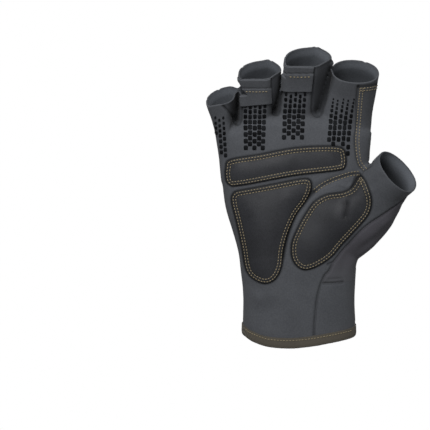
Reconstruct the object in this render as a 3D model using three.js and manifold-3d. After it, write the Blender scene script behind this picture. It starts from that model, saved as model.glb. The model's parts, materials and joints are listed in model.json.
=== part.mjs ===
// A right-hand half-finger glove in the form that it has on a raised hand: fingers up (+Z), palm towards -Y,
// thumb towards +X. The origin is the middle of the wrist opening, where the hand goes in. Millimetres.
import * as THREE from "three";
import { mergeVertices } from "three/addons/utils/BufferGeometryUtils.js";
import Module from "manifold-3d";

const wasm = await Module();
wasm.setup();

// Driving dimensions
const WALL = 1.8; // fabric with its lining
const GAP = 0.3; // left between two pieces that touch
const TAPE = 0.9; // binding tape
const TAPE_WIDTH = 5.6; // of the binding that shows
const PATCH = 1.3; // fuzzy loop patch
const STRAP = 1.5; // woven strap
const PAD_EDGE = 1.3; // stitched edge of a padded patch
const PAD_RISE = 3.6; // its padded middle
const TAB = 1.6; // folded pull tab
const STALL_DROP = 5; // how far the hollow runs past a stall's open end
const FAR = 90; // beyond the glove on every side
const FAR_UP = 230; // above its tips
const FAR_DOWN = -20; // below its hem
const HEM_Z = 3.3; // height of the hem's lowest edge in the tables below, which becomes zero in the end

// Points round each hollow
const BODY_SIDES = 30;
const STALL_SIDES = 14;
const THUMB_SIDES = 16;
const PATH_POINTS = 11; // along a seam

// The palm and cuff from the wrist up. left, right, front and back are how far the section reaches from the
// middle, y moves it forward, cup bends its two sides towards the palm, arch lowers them at the knuckles.
const BODY = [
  { z: -8, y: 0, left: 35, right: 36.2, front: 21, back: 21, cup: 0, arch: 0 },
  { z: 44, y: 0, left: 35.2, right: 36.4, front: 20.5, back: 20.5, cup: 0.5, arch: 0 },
  { z: 61, y: 0, left: 37.4, right: 38, front: 20.5, back: 19.5, cup: 1, arch: 0 },
  { z: 78, y: 0, left: 42.2, right: 41.5, front: 20.5, back: 19, cup: 2.5, arch: 0 },
  { z: 93, y: 0, left: 46.2, right: 44, front: 20, back: 18.5, cup: 3.5, arch: 0 },
  { z: 110, y: 0, left: 48.6, right: 46, front: 19.5, back: 18, cup: 4.5, arch: 1 },
  { z: 127, y: 0, left: 50.6, right: 46.4, front: 18.5, back: 17, cup: 5, arch: 4 },
  { z: 142, y: -1, left: 52.6, right: 46.4, front: 17, back: 15, cup: 5, arch: 8 },
  { z: 149, y: -2, left: 52.2, right: 46, front: 14, back: 12, cup: 5, arch: 12, lid: 1 },
  { z: 152.4, y: -2.5, left: 50, right: 45, front: 8, back: 7, cup: 5, arch: 12, lid: 1 },
  { z: 153.4, y: -2.5, left: 47, right: 42, front: 3, back: 3, cup: 5, arch: 12, lid: 1 },
];
const ARCH_MIDDLE = -2;
const HALF_PALM = 50;

// Each finger stall from its root in the palm, past its knuckle, forward to its open tip.
const FINGERS = {
  index: [
    { x: 28.5, y: -1, z: 118, wide: 32, deep: 26 },
    { x: 29.1, y: -2, z: 150, wide: 35.6, deep: 27 },
    { x: 34.4, y: -8.5, z: 166.5, wide: 30.2, deep: 25.5 },
    { x: 36.5, y: -17.8, z: 180.8, wide: 28, deep: 23 },
  ],
  middle: [
    { x: -1.2, y: -1, z: 118, wide: 25, deep: 26 },
    { x: -1.1, y: -2, z: 153, wide: 24.8, deep: 26.5 },
    { x: 2.6, y: -8.5, z: 172, wide: 27, deep: 26 },
    { x: 5.3, y: -19.5, z: 187.8, wide: 29.4, deep: 24 },
  ],
  ring: [
    { x: -26.8, y: -1, z: 118, wide: 25, deep: 25 },
    { x: -26.9, y: -2, z: 149, wide: 25.6, deep: 25.5 },
    { x: -25.2, y: -8, z: 165.5, wide: 26, deep: 24.5 },
    { x: -24.6, y: -18, z: 180.2, wide: 26.3, deep: 22 },
  ],
  little: [
    { x: -42.5, y: -4, z: 108, wide: 13, deep: 18 },
    { x: -46, y: -5, z: 141, wide: 13.6, deep: 20 },
    { x: -47.4, y: -9, z: 153, wide: 16.4, deep: 20 },
    { x: -48.5, y: -15.5, z: 165.2, wide: 20.4, deep: 19 },
  ],
};

// The thumb from its open tip down into the palm. up and low are its half widths along THUMB_ACROSS.
const THUMB = [
  { x: 61.1, y: -22, z: 115, up: 15.3, low: 15.3, front: 13, back: 13 },
  { x: 51.8, y: -14, z: 106, up: 15, low: 18.4, front: 13.5, back: 13.5 },
  { x: 44, y: -9.5, z: 99, up: 15, low: 22.8, front: 14.5, back: 14 },
  { x: 32.3, y: -5, z: 88.8, up: 14, low: 26.4, front: 16.5, back: 14 },
  { x: 20, y: -2, z: 78, up: 12, low: 26.6, front: 15, back: 13 },
];
const THUMB_ACROSS = new THREE.Vector3(0.63, 0, -0.777);

// A section never closes up further than this.
const LEAST = 0.5;

// How square a section is: 2 is an ellipse.
const BODY_SQUARE = 2.35;
const STALL_SQUARE = 2.15;

// Lines drawn on the front view, as x and z
const HEM = [[-60, 14], [-36, 12.8], [-30, 8.6], [-20, 5.6], [-8, 4.5], [0, 4.7], [15, 7.1], [36, 12], [60, 14]];
const SIDE_SPLIT = [[0, -20], [0, 20], [-1, 54], [-4, 102], [-6, 139], [-15, 167], [-21, 199]]; // as y and z
const THUMB_SEAM = {
  low: 107,
  high: 140,
  front: [[45, 121], [38, 113], [41, 104], [41.4, 96], [38.5, 88], [31, 79], [23.5, 70.5], [18.5, 62], [19.6, 56],
    [27.9, 65.3], [40.6, 80.5], [53.4, 90.1], [68.7, 101.8], [76, 107]],
  back: [[45.5, 121], [47, 118], [50, 114], [53.5, 110.6], [58, 107], [62, 105.4], [66, 104.6], [70, 104.6],
    [74, 105], [78, 105.6]],
  over: [[50.5, 140], [47.5, 128]],
};
const INDEX_SEAM = {
  low: 112,
  high: 200,
  front: [[35.4, 200], [35.4, 171.5], [35.1, 147.8], [34.3, 134.9], [36.1, 121.9], [40.1, 116.1], [46, 112]],
  back: [[53, 200], [51.5, 171], [45.5, 160], [42.6, 148], [42.6, 134], [44, 124], [50, 112]],
  over: [],
};
const GUSSET_SEAM = {
  low: 45,
  high: 118,
  front: [[34, 112], [28, 84], [20.6, 56], [17, 50.5], [14.4, 45.2]],
  back: [[52, 118], [44.4, 98], [41.2, 86], [37.8, 70], [33, 45.2]],
  over: [],
};
const CUFF_SEAM = {
  low: FAR_DOWN,
  high: 45,
  front: [[14.4, 45.2], [12, 36], [10.8, 24], [10.2, 12], [10.4, -20]],
  back: [[30, 45.2], [30, 34], [30, 23], [30, 12], [30, -20]],
  over: [],
};
const BACK_SEAM = [[-60, 65.5], [-42.4, 71.7], [-10, 81], [8, 86.5], [19.6, 89.7], [60, 90.5]];
const RIBS = [[19.6, 89.1], [60, 89.1], [60, 58.5], [24.4, 58.5]];
// The wrist slit and its keyhole, as x and z down each edge
const SLIT = {
  palmSide: [[33.4, -20], [33.4, 50.5], [32.4, 54.9]],
  cuffSide: [[28.4, 55.9], [26.6, 52.9], [26.2, 42.5], [25.4, 28.5], [23, 12.5], [20, -20]],
};
const SLIT_DEPTH = 2; // the slit is cut behind this plane only
const SLIT_TAPE = [[38, -20], [38, 53.5], [34, 61.5], [28.6, 63.5], [22.8, 60.1], [20.8, 52.1], [20.6, 42.5],
  [19.8, 28.5], [17.4, 12.5], [14.4, -20]];

// The side walls between stalls. Their edges as x at the foot and at the top, on the palm and on the back.
const FOURCHETTES = [
  { name: "index_middle", footZ: 150.5, palm: { left: [7.6, 7.4], right: [14.2, 23.6] },
    back: { left: [8.4, 18.6], right: [14.8, 26] } },
  { name: "middle_ring", footZ: 150, palm: { left: [-17.6, -17.6], right: [-11.6, -9.2] },
    back: { left: [-17, -13.6], right: [-11, -7.2] } },
  { name: "ring_little", footZ: 143, palm: { left: [-42, -68], right: [-37.4, -37] },
    back: { left: [-42.4, -42], right: [-36.6, -34.8] } },
];
const FOURCHETTE_TOP = 200;
const FOURCHETTE_FOOT = 5; // of the rounded foot

// The palm's three padded patches, as outlines in x and z
const PADS = [
  { name: "bar_pad", middle: [-8, 120],
    outline: [[-46.4, 111.4], [-46.4, 118.5], [-43.5, 123.8], [-24.1, 127.6], [-4.9, 131.4], [14.3, 132.7],
      [26, 131.8], [29, 127.4], [28.9, 119.8], [24, 117.4], [-4.8, 114], [-38.2, 107.5], [-44, 107.8]] },
  { name: "heel_pad", middle: [-20, 82],
    outline: [[-42.7, 97], [-41.6, 102.4], [-37, 104.6], [-18, 108.4], [1.6, 112.2], [7, 111], [7.4, 105.5],
      [4.3, 97.9], [-2.1, 88.8], [-7.1, 77.1], [-9.7, 66.6], [-10.9, 56.1], [-14.7, 48.2], [-21.2, 44.9],
      [-29, 47.5], [-33.6, 53.4], [-36.2, 67.9], [-39.5, 83.6]] },
  { name: "thenar_pad", middle: [19, 82],
    outline: [[38.6, 114.3], [43.6, 105], [45.1, 96.9], [42.9, 89.1], [35.3, 79.5], [26.4, 68.8], [20, 61.7],
      [9.7, 55.6], [2, 54.6], [-3.9, 60.4], [-4.8, 70.8], [-0.8, 81.3], [4.2, 90.4], [9.3, 97.5], [17, 102.1],
      [27.2, 103.6], [33, 106.6]] },
];
const PAD_POINTS = 30;
const PAD_RINGS = [
  { towards: 0, up: 1 },
  { towards: 0.17, up: 1 },
  { towards: 0.3, up: 2.2 },
  { towards: 0.6, up: 2.8 },
];
const CROWN = 0.92; // how far in the flat top of a pad starts
const SUNK = 3; // a pad's underside before the palm is cut from it

const TAB_DEPTH = -10; // the tabs lie in front of this plane
const PULL_TABS = [
  { stall: "ring", name: "pull_tab_ring", left: -36.8, right: -18.2, low: 158.6, high: 174.6 },
  { stall: "middle", name: "pull_tab_middle", left: -8.9, right: 6.3, low: 167.4, high: 182.6 },
];

const STRAP_SHAPE = { root: 29, tip: -13.5, low: 12.9, high: 42.1, corner: 6.5, lean: 2.4 };
const STRAP_ROOT_END = 35; // the strap's sewn end, under the tape
const STRAP_COVER = { left: 32.2, right: 38, high: 45.5 }; // the tape's part that lies over it
const STRAP_DEPTH = 4; // the strap lies behind this plane
const PATCH_SHAPE = { left: -50, right: 19.4, low: 13.3, high: 42.3 };
const PATCH_DEPTH = 9; // the loop patch ends where the cuff turns to the palm

const COLOURS = {
  fabric: { color: 0x4a4c4f, roughness: 0.92, metalness: 0 },
  side_fabric: { color: 0x3c3d40, roughness: 0.93, metalness: 0 },
  stretch: { color: 0x45454c, roughness: 0.95, metalness: 0 },
  leather: { color: 0x2b2c2f, roughness: 0.6, metalness: 0 },
  tape: { color: 0x4a443a, roughness: 0.9, metalness: 0 },
  webbing: { color: 0x5c5f6b, roughness: 0.9, metalness: 0 },
  loops: { color: 0x101216, roughness: 1, metalness: 0 },
};

const vector = (x, y, z) => new THREE.Vector3(x, y, z);
const flat = (points) => points.map(([x, z]) => new THREE.Vector2(x, z));
const rounded = (value, square) => Math.sign(value) * Math.abs(value) ** (2 / square);

// A geometry as a solid that can be joined and cut.
function solidOf(geometry) {
  geometry.deleteAttribute("normal");
  geometry.deleteAttribute("uv");
  const merged = mergeVertices(geometry);
  return new wasm.Manifold(
    new wasm.Mesh({
      numProp: 3,
      vertProperties: new Float32Array(merged.attributes.position.array),
      triVerts: new Uint32Array(merged.index.array),
    }),
  );
}

// A closed ring round a hollow, whose reach on each of four sides is given. swell makes it larger all round.
function ring(centre, across, front, reach, square, sides, swell) {
  return Array.from({ length: sides }, (_, side) => {
    const angle = (side / sides) * 2 * Math.PI;
    const along = rounded(Math.cos(angle), square);
    const forward = rounded(Math.sin(angle), square);
    const wide = Math.max((along > 0 ? reach.right : reach.left) + swell, LEAST);
    const deep = Math.max((forward > 0 ? reach.front : reach.back) + swell, LEAST);
    return centre.clone().addScaledVector(across, along * wide).addScaledVector(front, forward * deep);
  });
}

// The triangles that close a ring flat, and the direction that they face.
function lidOf(points) {
  const facing = vector(0, 0, 0);
  points.forEach((p, i) => facing.add(p.clone().cross(points[(i + 1) % points.length])));
  facing.normalize();
  const side = points[1].clone().sub(points[0]);
  side.addScaledVector(facing, -side.dot(facing)).normalize();
  const up = facing.clone().cross(side);
  const flat = points.map((p) => new THREE.Vector2(p.dot(side), p.dot(up)));
  return { facing, faces: THREE.ShapeUtils.triangulateShape(flat, []) };
}

// A solid through a row of rings with as many points each, closed flat at both ends.
function through(rings) {
  const way = rings.at(-1)[0].clone().sub(rings[0][0]);
  const turned = lidOf(rings[0]).facing.dot(way) < 0;
  const layers = turned ? rings.map((points) => [...points].reverse()) : rings;
  const count = layers[0].length;
  const faces = [];
  for (let layer = 0; layer + 1 < layers.length; layer++)
    for (let i = 0; i < count; i++) {
      const a = layer * count + i;
      const b = layer * count + ((i + 1) % count);
      faces.push(a, b, b + count, a, b + count, a + count);
    }
  const top = (layers.length - 1) * count;
  for (const [a, b, c] of lidOf(layers[0]).faces) faces.push(a, c, b);
  for (const [a, b, c] of lidOf(layers.at(-1)).faces) faces.push(top + a, top + b, top + c);
  const geometry = new THREE.BufferGeometry().setFromPoints(layers.flat());
  geometry.setIndex(faces);
  return solidOf(geometry);
}

// The palm and cuff, closed over the knuckles.
function bodyForm(swell) {
  return through(
    BODY.map((row) => {
      const centre = vector(0, row.y, row.z + (row.lid ? swell : 0));
      const points = ring(centre, vector(1, 0, 0), vector(0, -1, 0), row, BODY_SQUARE, BODY_SIDES, swell);
      for (const p of points) {
        p.y -= row.cup * (p.x / HALF_PALM) ** 2;
        p.z -= row.arch * ((p.x - ARCH_MIDDLE) / HALF_PALM) ** 2;
      }
      return points;
    }),
  );
}

// A stall through rows of centres, with its width along the given direction.
function stallForm(rows, across, sides, swell, drop) {
  const centres = rows.map((row) => vector(row.x, row.y, row.z));
  const rings = rows.map((row, i) => {
    const ahead = centres[Math.min(i + 1, rows.length - 1)];
    const along = ahead.clone().sub(centres[Math.max(i - 1, 0)]).normalize();
    const wide = across.clone().addScaledVector(along, -across.dot(along)).normalize();
    const front = wide.clone().cross(along);
    return { along, points: ring(centres[i], wide, front, row, STALL_SQUARE, sides, swell) };
  });
  const layers = rings.map((one) => one.points);
  const end = rings.at(-1);
  if (drop) layers.push(end.points.map((p) => p.clone().addScaledVector(end.along, drop)));
  return through(layers);
}

function fingerForm(name, swell, drop) {
  const rows = FINGERS[name].map(({ x, y, z, wide, deep }) => {
    return { x, y, z, left: wide / 2, right: wide / 2, front: deep / 2, back: deep / 2 };
  });
  return stallForm(rows, vector(1, 0, 0), STALL_SIDES, swell, drop);
}

function thumbForm(swell, drop) {
  const rows = [...THUMB].reverse().map((row) => ({ ...row, left: row.up, right: row.low }));
  return stallForm(rows, THUMB_ACROSS, THUMB_SIDES, swell, drop);
}

// The whole glove as one solid. drop carries the stalls past their open ends.
function gloveForm(swell, drop) {
  const stalls = Object.keys(FINGERS).map((name) => fingerForm(name, swell, drop));
  return [...stalls, thumbForm(swell, drop)].reduce((form, stall) => form.add(stall), bodyForm(swell));
}

// Points spaced evenly along a smooth line, and round a smooth closed outline.
function smooth(points, count) {
  return new THREE.SplineCurve(points.map(([x, z]) => new THREE.Vector2(x, z))).getSpacedPoints(count - 1);
}
function smoothRound(points, count) {
  const corners = points.map(([x, z]) => vector(x, z, 0));
  const spaced = new THREE.CatmullRomCurve3(corners, true).getSpacedPoints(count);
  return spaced.slice(0, count).map((p) => new THREE.Vector2(p.x, p.y));
}

// An outline moved outwards by a small step, with its corners kept sharp up to a limit.
const SHARPEST = 3;
function grown(outline, step) {
  const turn = Math.sign(THREE.ShapeUtils.area(outline));
  const outwards = (from, to) => {
    const way = to.clone().sub(from).normalize();
    return new THREE.Vector2(turn * way.y, -turn * way.x);
  };
  return outline.map((p, i) => {
    const before = outwards(outline[(i + outline.length - 1) % outline.length], p);
    const after = outwards(p, outline[(i + 1) % outline.length]);
    const reach = Math.min(1 / (1 + before.dot(after)), SHARPEST);
    return p.clone().addScaledVector(before.add(after), reach * step);
  });
}

// A block with an outline in the front view, from one depth to another.
function block(outline, from = -FAR, to = FAR) {
  const shape = new THREE.ExtrudeGeometry(new THREE.Shape(outline), { depth: to - from, bevelEnabled: false });
  return solidOf(shape.rotateX(Math.PI / 2).translate(0, to, 0));
}

// A block that has one outline through the palm, another through the back, and runs straight between them.
const PALM_DEPTH = -19;
const BACK_DEPTH = 10;
function wrapBlock(front, back) {
  const layer = (outline, y) => outline.map((p) => vector(p.x, y, p.y));
  return through([layer(front, -FAR), layer(front, PALM_DEPTH), layer(back, BACK_DEPTH), layer(back, FAR)]);
}

// The region on the thumb side of a seam, closed far outside the glove between its two heights.
function besideSeam(seam) {
  const outside = flat([[FAR, seam.low], [FAR, seam.high], ...seam.over]);
  const close = (points) => [...smooth(points, PATH_POINTS), ...outside];
  return { front: close(seam.front), back: close(seam.back) };
}

// The region of the two side walls between neighbouring stalls, with a rounded foot.
function betweenStalls(row) {
  const outline = ({ left, right }) => {
    const middle = (left[0] + right[0]) / 2;
    const half = (right[0] - left[0]) / 2;
    const foot = Array.from({ length: 6 }, (_, i) => {
      const angle = Math.PI * (1 + i / 5);
      return [middle + half * Math.cos(angle), row.footZ + FOURCHETTE_FOOT * Math.sin(angle)];
    });
    return flat([...foot, [right[1], FOURCHETTE_TOP], [left[1], FOURCHETTE_TOP]]);
  };
  return { front: outline(row.palm), back: outline(row.back) };
}

// The largest body of a cut solid, without slivers.
function largest(solid) {
  return solid.decompose().reduce((a, b) => (b.volume() > a.volume() ? b : a));
}

// The sewn shell, cut into its panels
const glove = gloveForm(0, 0);
const hemLine = smooth(HEM, PATH_POINTS);
const aboveHem = (lift) =>
  block([...hemLine.map((p) => new THREE.Vector2(p.x, p.y + lift)), ...flat([[FAR, FAR_UP], [-FAR, FAR_UP]])]);
let shell = glove.subtract(gloveForm(-WALL, STALL_DROP)).intersect(aboveHem(0));

const slitOutline = flat([...SLIT.palmSide, ...SLIT.cuffSide]);
const slit = block(slitOutline, SLIT_DEPTH);

function takePanel(region) {
  const panel = shell.intersect(wrapBlock(region.front, region.back));
  shell = shell.subtract(wrapBlock(grown(region.front, GAP), grown(region.back, GAP)));
  return largest(panel);
}

shell = shell.subtract(slit);
const pieces = {};
const put = (name, solid, colour) => {
  pieces[name] = { solid, colour };
};
put("thumb_stall", takePanel(besideSeam(THUMB_SEAM)), "fabric");
put("index_side_panel", takePanel(besideSeam(INDEX_SEAM)), "fabric");
put("thumb_gusset", takePanel(besideSeam(GUSSET_SEAM)), "stretch");
put("cuff_side_panel", takePanel(besideSeam(CUFF_SEAM)), "fabric");
for (const row of FOURCHETTES) put(`fourchette_${row.name}`, takePanel(betweenStalls(row)), "side_fabric");

// The front and back halves part along the outer side of the hand, which bends forward with the fingers.
function halfSpace(side, step) {
  const line = smooth(SIDE_SPLIT, PATH_POINTS).map((p) => new THREE.Vector2(p.x + side * step, p.y));
  const ends = [line.at(-1).y, line[0].y].map((z) => new THREE.Vector2(side * FAR, z));
  const profile = new THREE.Shape([...line, ...ends]);
  const half = new THREE.ExtrudeGeometry(profile, { depth: 2 * FAR, bevelEnabled: false });
  return solidOf(half.rotateX(Math.PI / 2).rotateZ(Math.PI / 2).translate(-FAR, 0, 0));
}
put("palm_panel", largest(shell.intersect(halfSpace(-1, GAP / 2))), "fabric");
let backHalf = shell.intersect(halfSpace(1, GAP / 2));

const backSeam = smooth(BACK_SEAM, PATH_POINTS);
const belowBackSeam = (step) => {
  const below = flat([[FAR, FAR_DOWN], [-FAR, FAR_DOWN]]);
  return block([...backSeam.map((p) => new THREE.Vector2(p.x, p.y + step)), ...below]);
};
put("back_panel", largest(backHalf.subtract(belowBackSeam(GAP))), "fabric");
backHalf = backHalf.intersect(belowBackSeam(0));
const ribs = flat(RIBS);
put("rib_insert", largest(backHalf.intersect(block(ribs))), "stretch");
put("cuff_back_panel", largest(backHalf.subtract(block(grown(ribs, GAP)))), "fabric");

// A layer that lies over the body's wall between two distances from it.
const layerOver = (near, far) => bodyForm(far).subtract(bodyForm(near));
const foldedTape = () => layerOver(-WALL - GAP - TAPE, GAP + TAPE);
const wallRoom = layerOver(-WALL - GAP, GAP);

// Folded tape round the hem and up both edges of the slit, which stays open.
const FOLD = GAP + TAPE;
const hemBand = aboveHem(-FOLD).subtract(aboveHem(TAPE_WIDTH));
const slitTapeOutline = flat(SLIT_TAPE);
const slitBand = block(slitTapeOutline, SLIT_DEPTH).intersect(aboveHem(-FOLD));
const slitOpen = block(grown(slitOutline, -FOLD), -FAR, FAR).intersect(block(slitTapeOutline, SLIT_DEPTH));
const bandRoom = wallRoom.intersect(aboveHem(-GAP)).subtract(block(grown(slitOutline, -GAP), SLIT_DEPTH));

// The strap lies on the loop patch, steps down over the slit and is sewn under the tape of its thumb side.
function strapForm(grow) {
  const { root, tip, low, high, corner, lean } = STRAP_SHAPE;
  const shape = new THREE.Shape();
  shape.moveTo(root + grow, low + lean - grow);
  shape.lineTo(tip + corner, low - grow);
  shape.quadraticCurveTo(tip - grow, low - grow, tip - grow, low + corner);
  shape.lineTo(tip - grow, high - lean - corner);
  shape.quadraticCurveTo(tip - grow, high - lean + grow, tip + corner, high - lean + grow);
  shape.lineTo(root + grow, high + grow);
  const end = (from, to) =>
    flat([[from, low + lean - grow], [to, low + lean - grow], [to, high + grow], [from, high + grow]]);
  const over = GAP + PATCH + GAP;
  const band = layerOver(over - grow, over + STRAP + grow).intersect(block(shape.getPoints(5), STRAP_DEPTH));
  const stepEnds = end(root - STRAP, root + 1);
  const step = layerOver(GAP - grow, over + STRAP + grow).intersect(block(stepEnds, STRAP_DEPTH));
  const footEnds = end(root, STRAP_ROOT_END + grow);
  const foot = layerOver(GAP - grow, GAP + STRAP + grow).intersect(block(footEnds, SLIT_DEPTH));
  return band.add(step).add(foot);
}
const strap = largest(strapForm(0));
put("strap", strap, "webbing");

const box = ({ left, right, low, high }) => flat([[left, low], [right, low], [right, high], [left, high]]);
const legCover = layerOver(GAP, GAP + STRAP + FOLD)
  .intersect(block(box({ ...STRAP_COVER, low: FAR_DOWN }), SLIT_DEPTH))
  .intersect(aboveHem(-FOLD));
const slitTape = foldedTape().intersect(slitBand).add(legCover).subtract(slitOpen).subtract(bandRoom);
put("slit_binding", largest(slitTape.subtract(strapForm(GAP))), "tape");
const slitTapeRoom = block(grown(slitTapeOutline, GAP), SLIT_DEPTH - GAP);
const hemTape = foldedTape().intersect(hemBand).subtract(bandRoom).subtract(slitTapeRoom);
put("wrist_binding", largest(hemTape.subtract(strapForm(GAP))), "tape");

const patchBlock = block(box(PATCH_SHAPE), PATCH_DEPTH);
const patch = layerOver(GAP, GAP + PATCH).intersect(patchBlock).intersect(aboveHem(TAPE_WIDTH + GAP));
put("loop_patch", largest(patch.subtract(slitTapeRoom)), "loops");

// The palm's surface under a point of the front view.
const surface = new THREE.Mesh(geometryOf(glove), new THREE.MeshBasicMaterial({ side: THREE.DoubleSide }));
const caster = new THREE.Raycaster();
function palmAt(x, z) {
  caster.set(vector(x, -FAR, z), vector(0, 1, 0));
  return caster.intersectObject(surface)[0].point.y;
}

function geometryOf(solid) {
  const mesh = solid.getMesh();
  const geometry = new THREE.BufferGeometry();
  geometry.setAttribute("position", new THREE.BufferAttribute(new Float32Array(mesh.vertProperties), 3));
  geometry.setIndex(new THREE.BufferAttribute(new Uint32Array(mesh.triVerts), 1));
  geometry.computeVertexNormals();
  return geometry;
}

// A padded patch: a thin stitched edge round a crowned middle, cut to the palm that it is sewn on.
const clearOfGlove = gloveForm(GAP, 0);
function padForm(pad) {
  const outline = smoothRound(pad.outline, PAD_POINTS);
  const middle = new THREE.Vector2(...pad.middle);
  const at = (towards, rise) =>
    outline.map((p) => {
      const { x, y: z } = p.clone().lerp(middle, towards);
      return vector(x, palmAt(x, z) - rise, z);
    });
  const top = PAD_RINGS.map((one) => at(one.towards, one.up * PAD_EDGE));
  const crown = at(CROWN, PAD_RISE + GAP);
  return through([at(CROWN, -SUNK), at(0, -SUNK), ...top, crown]).subtract(clearOfGlove);
}
for (const pad of PADS) put(pad.name, padForm(pad), "leather");

// A folded tab across the palm side of a stall.
for (const tab of PULL_TABS) {
  const band = fingerForm(tab.stall, GAP + TAB, 0).subtract(gloveForm(GAP, 0));
  const front = block(box(tab), -FAR, TAB_DEPTH);
  put(tab.name, largest(band.intersect(front)), "fabric");
}

const group = new THREE.Group();
for (const [name, { solid, colour }] of Object.entries(pieces)) {
  const geometry = geometryOf(solid).translate(0, 0, -HEM_Z);
  const mesh = new THREE.Mesh(geometry, new THREE.MeshStandardMaterial(COLOURS[colour]));
  mesh.name = name;
  group.add(mesh);
}
export default group;
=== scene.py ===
# %% [markdown]
# A half-finger fishing glove, seen from the palm. The imported CAD model is the fixed frame: it says where
# each sewn piece lies and how big it is. Blender then gives each piece its real surface. The frame is
# loaded before anything else.

# %% Load the frame
import json
import math
import random

import bpy
import numpy as np
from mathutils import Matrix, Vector, noise
from mathutils.bvhtree import BVHTree
from mathutils.kdtree import KDTree

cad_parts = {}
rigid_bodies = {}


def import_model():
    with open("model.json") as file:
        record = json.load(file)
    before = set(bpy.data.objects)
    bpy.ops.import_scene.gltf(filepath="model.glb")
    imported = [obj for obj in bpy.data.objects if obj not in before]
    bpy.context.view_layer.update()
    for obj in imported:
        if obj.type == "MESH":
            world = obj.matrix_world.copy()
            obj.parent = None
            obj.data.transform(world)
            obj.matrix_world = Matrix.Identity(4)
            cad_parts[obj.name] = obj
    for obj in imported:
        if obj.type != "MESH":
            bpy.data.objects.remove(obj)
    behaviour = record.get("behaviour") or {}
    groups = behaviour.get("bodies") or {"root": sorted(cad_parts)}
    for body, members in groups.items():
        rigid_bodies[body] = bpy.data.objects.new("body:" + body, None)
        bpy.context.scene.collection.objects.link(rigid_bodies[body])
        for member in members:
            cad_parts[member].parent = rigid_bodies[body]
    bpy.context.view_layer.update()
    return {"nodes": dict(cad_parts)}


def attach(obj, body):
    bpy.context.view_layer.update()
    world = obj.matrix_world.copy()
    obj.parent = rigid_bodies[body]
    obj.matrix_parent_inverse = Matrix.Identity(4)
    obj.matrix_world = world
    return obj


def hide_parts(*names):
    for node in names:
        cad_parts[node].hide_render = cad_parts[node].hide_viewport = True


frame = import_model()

bpy.ops.object.select_all(action="DESELECT")
random.seed(7)
print("nodes in the frame:", len(frame["nodes"]))

# %% [markdown]
# The camera stands where the photographer stood: straight in front of the palm and a little above it. A
# long lens keeps the fingers from growing towards the viewer. The glove stays on the right side of the
# frame.

# %% The camera
TARGET = Vector((-0.0532, 0, 0.0831))
DISTANCE = 0.9
ELEVATION = math.radians(8)
FRAME_WIDTH = 0.2778  # of what the camera sees at the target
SENSOR = 36.0

camera_data = bpy.data.cameras.new("camera")
camera = bpy.data.objects.new("camera", camera_data)
bpy.context.scene.collection.objects.link(camera)
bpy.context.scene.camera = camera
camera.location = TARGET + DISTANCE * Vector((0, -math.cos(ELEVATION), math.sin(ELEVATION)))
camera.rotation_euler = (TARGET - camera.location).to_track_quat("-Z", "Y").to_euler()
camera_data.sensor_width = SENSOR
camera_data.lens = SENSOR * DISTANCE / FRAME_WIDTH
print("lens:", round(camera_data.lens, 1), "mm")

# %% [markdown]
# A glove is measured as a tailor would: in millimetres, with tables of sections. These tables are the same
# ones that the CAD solids were made from. Heights are counted from a zero that lies a little below the hem,
# so the last step of every mesh brings them down by HEM_Z and turns millimetres into metres.

# %% Sizes
MM = 0.001
HEM_Z = 3.3
WALL = 1.8  # fabric with its lining
VOXEL = 0.8  # of the mesh that everything is cut from
STALL_RUN = 7  # how far a stall is drawn past its open end before it is cut off there

# %% The glove's form
# x, y, z, reach to the left, right, front and back, then how far the two sides cup and the knuckles arch
BODY = [
    (0, 0, -8, 35.2, 39.2, 21, 21, 0, 0),
    (0, 0, 44, 35.7, 37.7, 20.5, 20.5, 0.5, 0),
    (0, 0, 61, 37.9, 38.7, 20.5, 19.5, 1, 0),
    (0, 0, 78, 42.7, 42.3, 20.5, 19, 2.5, 0),
    (0, 0, 93, 46.6, 44, 20, 18.5, 3.5, 0),
    (0, 0, 110, 48.6, 46, 19.5, 18, 4.5, 1),
    (0, 0, 127, 50.0, 45.6, 18.5, 17, 5, 4),
    (0, -1, 142, 52.4, 46.0, 17, 15, 5, 8),
    (0, -2, 149, 52.2, 46, 14, 12, 5, 12),
    (0, -2.5, 152.4, 50, 45, 8, 7, 5, 12),
    (0, -2.5, 153.4, 47, 42, 3, 3, 5, 12),
]
HALF_PALM = 50
ARCH_MIDDLE = -2
# x, y, z, reach to the left, right, front and back, share of the boxy form below
FINGERS = {
    "index": [(28.5, -1, 118, 16, 16, 13, 13, 0), (29.1, -2, 150, 18.2, 17.8, 13.5, 13.5, 0),
              (33.0, -8.5, 166, 17.4, 15.5, 12.8, 12.8, 0), (34.3, -17.8, 178.5, 15.1, 15.0, 12.2, 12.2, 0)],
    "middle": [(-1.2, -1, 118, 13, 13, 13, 13, 0), (-1.3, -2, 153, 13.8, 13.8, 13.2, 13.2, 0.5),
               (1.8, -8.5, 172, 12.3, 14.6, 12.3, 12.8, 1), (4.2, -19.5, 187, 14.7, 14.9, 11, 11.5, 1)],
    "ring": [(-26.8, -1, 118, 13, 13, 12.5, 12.5, 0), (-26.9, -2, 149, 12.2, 13.6, 12.7, 12.7, 0.5),
             (-25.4, -8, 165.5, 12.3, 14.4, 11.9, 12.2, 1), (-25.2, -18, 179.8, 13.6, 13.0, 10.6, 10.2, 1)],
    "little": [(-42.5, -4, 108, 6.5, 6.5, 9, 9, 0), (-46, -5, 141, 7.4, 8.6, 10, 10, 0),
               (-47.4, -9, 153, 9.0, 9.8, 10, 10, 0.5), (-48.5, -15.5, 163.6, 11, 11, 9.2, 9.4, 0.8)],
}
THUMB = [
    (20, -2, 78, 12, 26.6, 15, 13, 0), (32.3, -5, 88.8, 14, 27.5, 16.5, 14, 0),
    (44, -9.5, 99, 15, 24.7, 14.5, 14, 0), (51.8, -14, 106, 15.6, 18.0, 14, 14, 0),
    (61.7, -22, 116.3, 16.6, 15.3, 15.2, 14.4, 0),
]
THUMB_ACROSS = np.array([0.63, 0, -0.777])
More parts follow.
